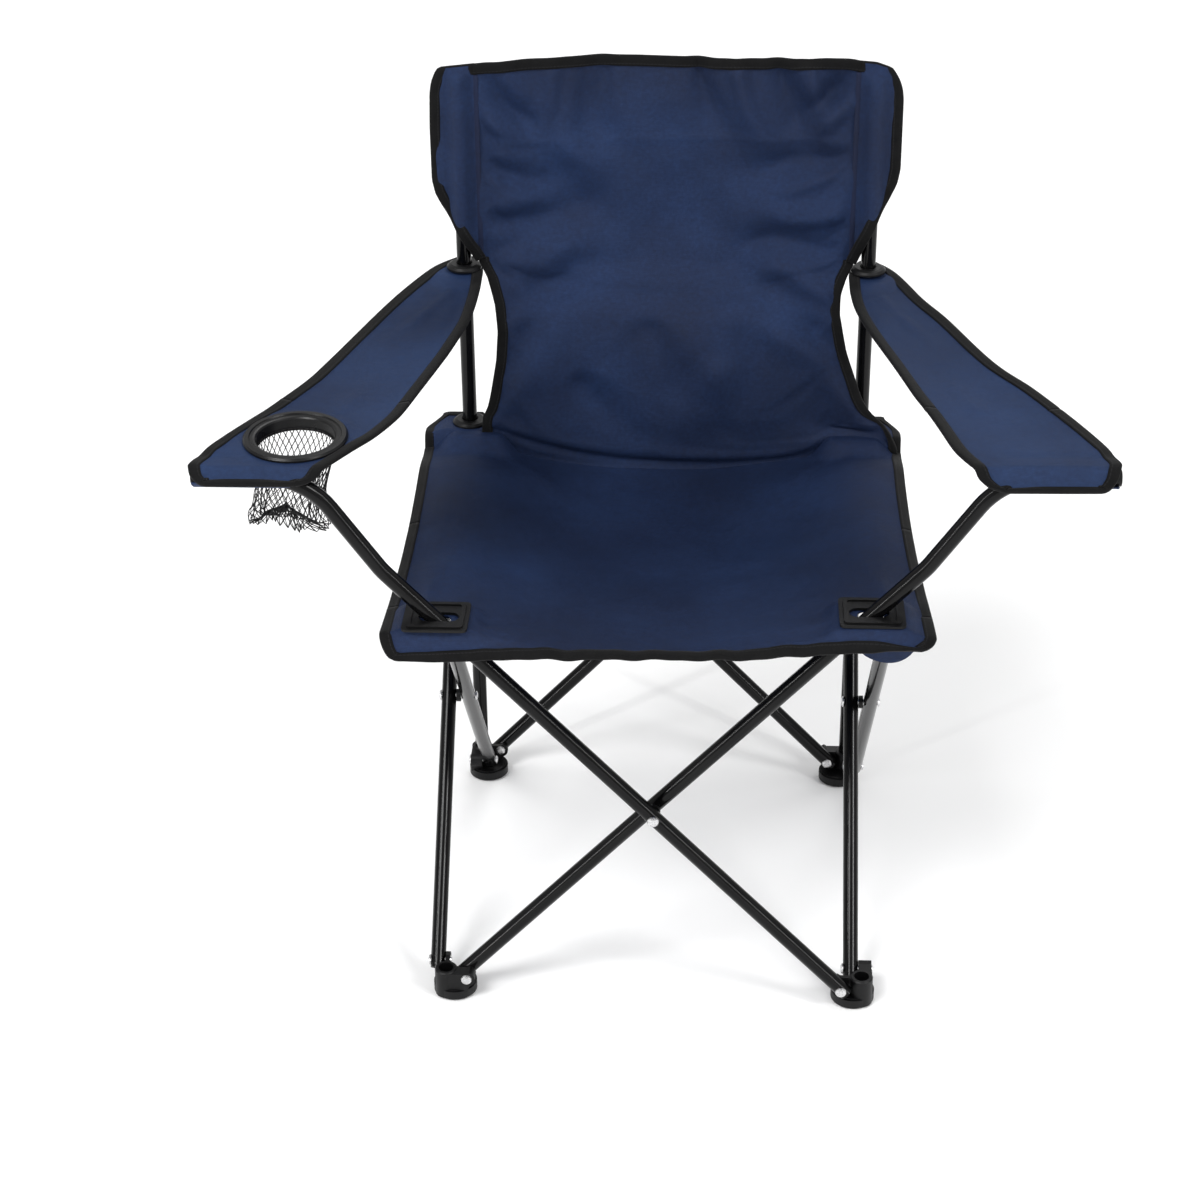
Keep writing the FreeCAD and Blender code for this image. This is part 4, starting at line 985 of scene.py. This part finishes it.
def arm_cloth(tag, sx, y_tube, body, cup, split_y, inner, outer, hem_drop):
    """Armrest cloth in two lengths: the broad front, which stays flat with the tube, and
    the strap to the post, which gathers when the chair folds."""
    rear = 0.206 - y_tube
    end = rear + 0.0305

    def world(x, yl, zl):
        return np.stack([sx * x, y_tube + yl * math.cos(TILT) - zl * math.sin(TILT), ARM_Z + yl * math.sin(TILT) + zl * math.cos(TILT)], -1)

    js = np.concatenate([np.linspace(-0.0175, 0.004, 15), np.linspace(0.004, end, 121)[1:]])
    jsplit = int(np.argmin(np.abs(js - split_y)))
    js[jsplit] = split_y

    def sm(tab):
        ys, xs = zip(*tab)
        v = np.interp(js, ys, xs)
        w = v.copy()
        for _ in range(5):
            w[16:-2] = (w[14:-4] + w[15:-3] + w[16:-2] + w[17:-1] + w[18:]) / 5
        return w
    xi, xo = sm(inner), sm(outer)
    nx = 41
    t = np.linspace(0, 1, nx)
    xo = xo + 0.0045 * np.sin(np.clip(js / end, 0, 1) * math.pi) ** 1.3
    XL = xi[None, :] + (xo - xi)[None, :] * t[:, None]
    YL = np.broadcast_to(js[None, :], XL.shape).copy()
    # the hem's two corners are rounded off
    along = np.clip(YL / (end), 0, 1)
    across = 4 * t[:, None] * (1 - t[:, None])
    ZL = 0.0098 - 0.0045 * np.sin(along * math.pi) * (0.3 + 0.7 * across)
    ZL = ZL - 0.0032 * across * smoothstep((along - 0.03) / 0.15) * smoothstep((1 - along) / 0.12)
    ZL = ZL + 0.0015 * np.sin(along * 9 + sx) * (t[:, None] - 0.5)
    front = np.clip(-YL / 0.0175, 0, 1)
    ZL = ZL - hem_drop * smoothstep(front) ** 0.9
    # the tube shows as a low ridge
    ridge = np.exp(-(YL / 0.0085) ** 2) * smoothstep((XL - 0.300) / 0.02)
    ZL = ZL + 0.0006 * ridge - 0.0016 * np.exp(-((YL - 0.020) / 0.008) ** 2) * smoothstep((XL - 0.300) / 0.02)
    P = world(XL, YL, ZL)
    wv = field(P, 11.0, 8.0 * sx + 2, 3)
    P[:, :, 2] += wv * 0.0022 * across * smoothstep((YL - 0.02) / 0.03)
    # creases that run from the post down the strap, and off the front corner
    for x0, y0, ang, amp, wd, L in ((0.212, rear - 0.03, -112, 0.0022, 0.006, 0.13), (0.200, rear - 0.05, -98, -0.0020, 0.006, 0.12),
                                    (0.232, rear - 0.08, -116, 0.0018, 0.007, 0.11), (0.385, 0.016, 135, 0.0022, 0.007, 0.08), (0.300, 0.10, 70, 0.0018, 0.009, 0.12)):
        a = math.radians(ang)
        ddx, ddy = -math.cos(a), math.sin(a)
        s = (XL - x0) * ddx + (YL - y0) * ddy
        q = -(XL - x0) * ddy + (YL - y0) * ddx
        env = smoothstep(s / 0.02) * (1 - smoothstep((s - 0.25 * L) / (0.75 * L)))
        P[:, :, 2] += amp * env * np.exp(-(q / wd) ** 2) * smoothstep(across * 2)
    if cup:
        dd = np.hypot(XL - 0.325, YL - 0.052)
        flat_ = (1 - smoothstep((dd - 0.0505) / 0.016)) * smoothstep((YL + 0.004) / 0.006)
        P = P * (1 - flat_[:, :, None]) + world(XL, YL, np.full_like(XL, 0.0101)) * flat_[:, :, None]
    dr = np.hypot(XL - 0.206, YL - rear)
    fl = 1 - smoothstep((dr - 0.021) / 0.02)
    P = P * (1 - fl[:, :, None]) + world(XL, YL, np.full_like(XL, 0.0100)) * fl[:, :, None]
    N = grid_normals(P)
    if N[nx // 2, 40, 2] < 0:
        N = -N
    UV = arc_uv(P)
    T = 0.0020
    front_ob = shell(tag + "_armrest_front_cloth", *oriented(P[:, :jsplit + 1], N[:, :jsplit + 1], UV[:, :jsplit + 1]), NAVY_ARM_PAINTED_LIGHTER, T)
    strap = shell(tag + "_armrest_strap_cloth", *oriented(P[:, jsplit:], N[:, jsplit:], UV[:, jsplit:]), NAVY_ARM_PAINTED_LIGHTER, T)
    # the sleeve's lower layer, from the hem round under the tube and up behind it
    prof = [(-0.0135, 0.0095 - hem_drop), (-0.0120, -0.0020), (-0.0090, -0.0044), (-0.0048, -0.0078), (0.0, -0.0092), (0.0054, -0.0084), (0.0105, -0.0056), (0.0148, -0.0008), (0.0185, 0.0038), (0.0220, 0.0066)]
    if hem_drop > 0.012:
        prof = prof[2:]
    prof = np.array(prof)
    S = np.zeros((nx, len(prof), 3))
    x0s, x1s = 0.322, 0.409
    for i in range(nx):
        x = x0s + (x1s - x0s) * t[i]
        S[i] = world(np.full(len(prof), x), prof[:, 0], prof[:, 1])
    SN = grid_normals(S)
    if SN[nx // 2, len(prof) // 2, 2] > 0:
        SN = -SN
    sleeve = shell(tag + "_armrest_sleeve", *oriented(S, SN, arc_uv(S)), NAVY_ARM_PAINTED_LIGHTER, 0.0014)

    def cyl(x, yl, rad):
        bm = bmesh.new()
        bmesh.ops.create_cone(bm, cap_ends=True, segments=64, radius1=rad, radius2=rad, depth=0.3)
        me = bpy.data.meshes.new("cutter")
        bm.to_mesh(me)
        bm.free()
        ob = bpy.data.objects.new("cutter", me)
        scene.collection.objects.link(ob)
        w = world(np.array(x), np.array(yl), np.array(0.0100))
        ob.matrix_world = Matrix.Translation(Vector(w)) @ Matrix.Rotation(TILT, 4, "X")
        return ob
    if cup:
        apply_boolean(front_ob, cyl(0.325, 0.052, 0.0393))
    apply_boolean(strap, cyl(0.206, rear, 0.0096))
    for ob in (front_ob, strap, sleeve):
        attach(ob, body)
    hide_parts(tag + "_armrest")
    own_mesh(strap)
    nj = P.shape[1]

    def run(cells, name, squashed):
        p, inn, nor = edge_run(P, N, cells)
        p, (inn, nor) = resample(p, [inn, nor], 0.0035)
        inn = smooth_closed(inn, 4, False)
        ob = tape(name, p, inn, nor, False, half=0.0024, wide=0.0100)
        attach(ob, body)
        if squashed:
            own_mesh(ob)
        return ob
    run([(0, j, 1, 0) for j in range(jsplit, nj)] + [(i, nj - 1, 0, -1) for i in range(1, nx)] + [(nx - 1, j, -1, 0) for j in range(nj - 2, jsplit - 1, -1)], tag + "_armrest_strap_tape", True)
    run([(0, j, 1, 0) for j in range(jsplit, 0, -1)] + [(i, 0, 0, 1) for i in range(0, nx)] + [(nx - 1, j, -1, 0) for j in range(1, jsplit + 1)], tag + "_armrest_front_tape", False)
    sheet(front_ob, (0.145, 0.165) if cup else (0.130, 0.145), 0.01325 if cup else 0.01632)
    sheet(strap, (0.110, 0.325), 0.02852 if cup else 0.02646)
    sheet(sleeve, (0.087, 0.055), 0.00398 if cup else 0.00335)
    return P, world


IN_L = [(-0.0175, 0.3180), (-0.0150, 0.3080), (-0.0100, 0.2985), (0.027, 0.2760), (0.061, 0.2550), (0.104, 0.2365), (0.145, 0.2270), (0.234, 0.2045), (0.300, 0.1915), (0.340, 0.1885), (0.395, 0.1875), (0.428, 0.1875), (0.440, 0.1905), (0.4525, 0.2010)]
OUT_L = [(-0.0175, 0.3960), (-0.0150, 0.4030), (-0.0080, 0.4100), (0.0, 0.4125), (0.017, 0.4080), (0.044, 0.3960), (0.075, 0.3760), (0.098, 0.3620), (0.136, 0.3420), (0.170, 0.3250), (0.223, 0.3080), (0.316, 0.2800), (0.361, 0.2650), (0.400, 0.2490), (0.425, 0.2380), (0.440, 0.2280), (0.4525, 0.2110)]
IN_R = [(-0.0175, 0.3120), (-0.0140, 0.2960), (-0.0080, 0.2860), (0.026, 0.2680), (0.065, 0.2590), (0.103, 0.2490), (0.132, 0.2390), (0.188, 0.2250), (0.244, 0.2100), (0.293, 0.1970), (0.330, 0.1900), (0.368, 0.1875), (0.408, 0.1875), (0.421, 0.1905), (0.4325, 0.2010)]
OUT_R = [(-0.0175, 0.3930), (-0.0150, 0.3995), (-0.0080, 0.4065), (0.002, 0.4100), (0.017, 0.4075), (0.042, 0.3975), (0.079, 0.3810), (0.122, 0.3600), (0.163, 0.3390), (0.187, 0.3210), (0.220, 0.3050), (0.261, 0.2890), (0.304, 0.2730), (0.341, 0.2550), (0.383, 0.2420), (0.406, 0.2330), (0.421, 0.2235), (0.4325, 0.2110)]
ARM_L, world_l = arm_cloth("left", -1, -0.216, "left_arm", True, 0.128, IN_L, OUT_L, 0.0085)
ARM_R, world_r = arm_cloth("right", 1, -0.196, "right_arm", False, 0.110, IN_R, OUT_R, 0.0150)

# ------------------------------------------------------------------ net pouch
def tube_mesh(polys, radius, sides=5):
    verts, faces, uvs = [], [], []
    for pts in polys:
        pts = np.asarray(pts, float)
        tang = np.gradient(pts, axis=0)
        tang /= np.linalg.norm(tang, axis=1, keepdims=True) + 1e-12
        ref = np.array([0.3, 0.2, 1.0])
        base = len(verts)
        for i, p_ in enumerate(pts):
            a = np.cross(tang[i], ref)
            if np.linalg.norm(a) < 1e-4:
                a = np.cross(tang[i], np.array([1.0, 0, 0]))
            a /= np.linalg.norm(a)
            b_ = np.cross(tang[i], a)
            for q in range(sides):
                th = 2 * math.pi * q / sides
                verts.append(p_ + radius * (a * math.cos(th) + b_ * math.sin(th)))
                uvs.append((i * 0.003, q * 0.001))
        n = len(pts)
        for i in range(n - 1):
            for q in range(sides):
                w = (q + 1) % sides
                faces.append((base + i * sides + q, base + i * sides + w, base + (i + 1) * sides + w, base + (i + 1) * sides + q))
        faces.append(tuple(base + q for q in reversed(range(sides))))
        faces.append(tuple(base + (n - 1) * sides + q for q in range(sides)))
    return verts, faces, uvs


def net_point(theta, d):
    """d from 0 at the ring to 1 at the middle of the bottom. The pouch hangs slack: it
    leans outwards and its folds deepen downwards into a crumpled end."""
    depth = 0.088
    if d < 0.78:
        s = d / 0.78
        r = 0.0350 - 0.0020 * math.sin(s * math.pi) - 0.0050 * s
        z = -0.005 - (depth - 0.010) * s
    else:
        s = (d - 0.78) / 0.22
        r = 0.0300 * (1 - s)
        z = -depth + 0.005 + 0.014 * s
    s = min(1.0, d / 0.78)
    g = max(0.0, (s - 0.25) / 0.75)
    fold = 1 + 0.15 * g * math.sin(theta * 3 + 1.3 + 2.6 * s) + 0.12 * g * math.sin(theta * 5 - 0.7 - 2.0 * s) + 0.07 * g * math.sin(theta * 11 + 5 * s)
    r *= fold
    x = r * math.cos(theta) * (1 + 0.06 * g)
    y = r * math.sin(theta) * (1 - 0.28 * g)
    c1 = noise3(x, y, z, 34.0, 4.0)
    c2 = noise3(x, y, z, 75.0, 9.0)
    z += (0.007 * c1 + 0.003 * c2) * g + 0.006 * g * math.sin(theta * 1 + 2.4)
    x += 0.0125 * smooth_one(s) + 0.003 * g * c2
    y += 0.004 * g * c1
    return x, y, z


def smooth_one(t):
    t = min(1.0, max(0.0, t))
    return t * t * (3 - 2 * t)


polys = []
NS = 36
for k in range(NS):
    for sgn in (-1, 1):
        pts = []
        for q in range(49):
            d = q / 48 * 0.985
            th = 2 * math.pi * k / NS + sgn * d * 1.45
            pts.append(net_point(th, d))
        polys.append(pts)
rimp = [net_point(2 * math.pi * q / 60, 0.0) for q in range(61)]
polys.append(rimp)
polys = [[tuple(world_l(np.array(0.325 + x), np.array(0.052 + y), np.array(0.0085 + z))) for x, y, z in pl] for pl in polys]
v_, f_, uv_ = tube_mesh(polys, 0.00046, 4)
net = link("cup_net", v_, f_, CORD, uv_)
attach(net, "left_arm")
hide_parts("cup_holder_net")

# ------------------------------------------------------------------ seat corner tabs
def corner_tab(tag, sx, body):
    """Doubled cloth at the seat's rear corner, with the post through it."""
    nx, ny = 35, 29
    ya, yb = 0.1735, 0.2295
    P = np.zeros((nx, ny, 3))
    for i in range(nx):
        s = i / (nx - 1)
        for j in range(ny):
            t = j / (ny - 1)
            y = ya + (yb - ya) * t
            x_in = 0.180 + 0.014 * smooth_one((y - 0.215) / 0.014)
            x_out = (0.2512 if sx < 0 else 0.2462) - 0.0155 * smooth_one((y - 0.200) / 0.028)
            P[i, j] = (sx * (x_in + (x_out - x_in) * s), y, 0)
    xx = np.abs(P[:, :, 0])
    yy = P[:, :, 1]
    dr = np.hypot(xx - 0.206, yy - 0.206)
    z_edge = seat_height(P[:, :, 0], np.minimum(yy, SEAM))
    tt = smoothstep((yy - 0.1825) / 0.0065)
    level = 1 - smoothstep((dr - 0.014) / 0.016)
    z = z_edge * (1 - tt) + 0.4345 * tt
    z = z * (1 - level) + 0.4345 * level
    z -= 0.006 * smoothstep((xx - 0.228) / 0.024) * tt
    z -= 0.0024 * (1 - smoothstep((yy - 0.1825) / 0.006))
    P[:, :, 2] = z + 0.0002
    if sx < 0:
        P = P[::-1]
    N = grid_normals(P)
    if N[5, 5, 2] < 0:
        N = -N
    ob = shell("seat_tab_" + tag, P, N, arc_uv(P), NAVY, 0.0022)
    bm = bmesh.new()
    bmesh.ops.create_cone(bm, cap_ends=True, segments=40, radius1=0.0098, radius2=0.0098, depth=0.2)
    me = bpy.data.meshes.new("cutter")
    bm.to_mesh(me)
    bm.free()
    cut = bpy.data.objects.new("cutter", me)
    scene.collection.objects.link(cut)
    cut.matrix_world = Matrix.Translation((sx * 0.206, 0.206, 0.434))
    apply_boolean(ob, cut)
    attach(ob, body)
    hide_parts("rear_%s_seat_tab" % tag)
    n1 = P.shape[0]
    i_out = n1 - 1 if sx > 0 else 0
    i_in = 0 if sx > 0 else n1 - 1
    step_in = -1 if sx > 0 else 1
    j0 = int(np.argmin(np.abs(P[0, :, 1] - 0.1815)))
    cells = [(i_out, j, step_in, 0) for j in range(j0, ny)]
    rng = range(n1 - 2, 0, -1) if sx > 0 else range(1, n1 - 1)
    cells += [(i, ny - 1, 0, -1) for i in rng]
    cells += [(i_in, j, -step_in, 0) for j in range(ny - 1, j0 + 4, -1)]
    p, inn, nor = edge_run(P, N, cells)
    p, (inn, nor) = resample(p, [inn, nor], 0.003)
    inn = smooth_closed(inn, 4, False)
    tp = tape("seat_tab_tape_" + tag, p, inn, nor, False, half=0.0023, wide=0.0085)
    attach(tp, body)
    sheet(ob, (0.0715, 0.057), 0.00334 if sx < 0 else 0.00306)
    return ob


corner_tab("left", -1, "rear_left_slide")
corner_tab("right", 1, "rear_right_slide")

# the sheets' sizes
sheet(ob_sf, (0.503, 0.0595), 0.02906)
sheet(ob_sm, (0.503, 0.186))
sheet(ob_sr, (0.503, 0.182))
sheet(flap, (0.052, 0.021), 0.00087)
for ob in (pk_l, pk_r):
    sheet(ob, (0.087, 0.206), 0.01487 if ob is pk_l else 0.01362)

# ------------------------------------------------------------------ floor, light
bm = bmesh.new()
bmesh.ops.create_grid(bm, x_segments=1, y_segments=1, size=30)
me = bpy.data.meshes.new("floor")
bm.to_mesh(me)
bm.free()
floor = bpy.data.objects.new("floor", me)
scene.collection.objects.link(floor)
fm, fnt, fb = new_mat("floor_pale")
fb.inputs["Base Color"].default_value = (0.95, 0.95, 0.95, 1)
fb.inputs["Roughness"].default_value = 0.9
fb.inputs["Specular IOR Level"].default_value = 0.1
me.materials.append(fm)

world = bpy.data.worlds.new("studio")
world.use_nodes = True
bg = world.node_tree.nodes["Background"]
bg.inputs[0].default_value = (1, 1, 1, 1)
bg.inputs[1].default_value = 0.55
scene.world = world


def sun(name, az, el, strength, angle):
    d = bpy.data.lights.new(name, "SUN")
    d.energy = strength
    d.angle = math.radians(angle)
    o = bpy.data.objects.new(name, d)
    a, e = math.radians(az), math.radians(el)
    direction = Vector((math.cos(e) * math.sin(a), -math.cos(e) * math.cos(a), math.sin(e)))
    o.rotation_euler = direction.to_track_quat("Z", "Y").to_euler()
    scene.collection.objects.link(o)
    return o


# az: 0 in front of the chair, positive to the right
sun("key", -38, 52, 1.50, 22)
sun("side", 52, 40, 0.80, 16)
sun("back_light", 165, 48, 0.70, 30)


def strip(name, loc, target, wide, tall, power):
    """A narrow tall lamp, seen as a thin line along the tubes."""
    d = bpy.data.lights.new(name, "AREA")
    d.shape = "RECTANGLE"
    d.size, d.size_y, d.energy = wide, tall, power
    o = bpy.data.objects.new(name, d)
    o.location = loc
    o.rotation_euler = (Vector(target) - Vector(loc)).to_track_quat("-Z", "Y").to_euler()
    scene.collection.objects.link(o)
    return o


strip("strip_left", (-2.6, -1.9, 1.3), (0, 0, 0.35), 0.07, 2.8, 34)
strip("strip_right", (2.5, -1.7, 1.2), (0, 0, 0.35), 0.07, 2.8, 26)
scene.view_settings.view_transform = "Standard"
scene.view_settings.look = "None"
scene.view_settings.exposure = 0.0
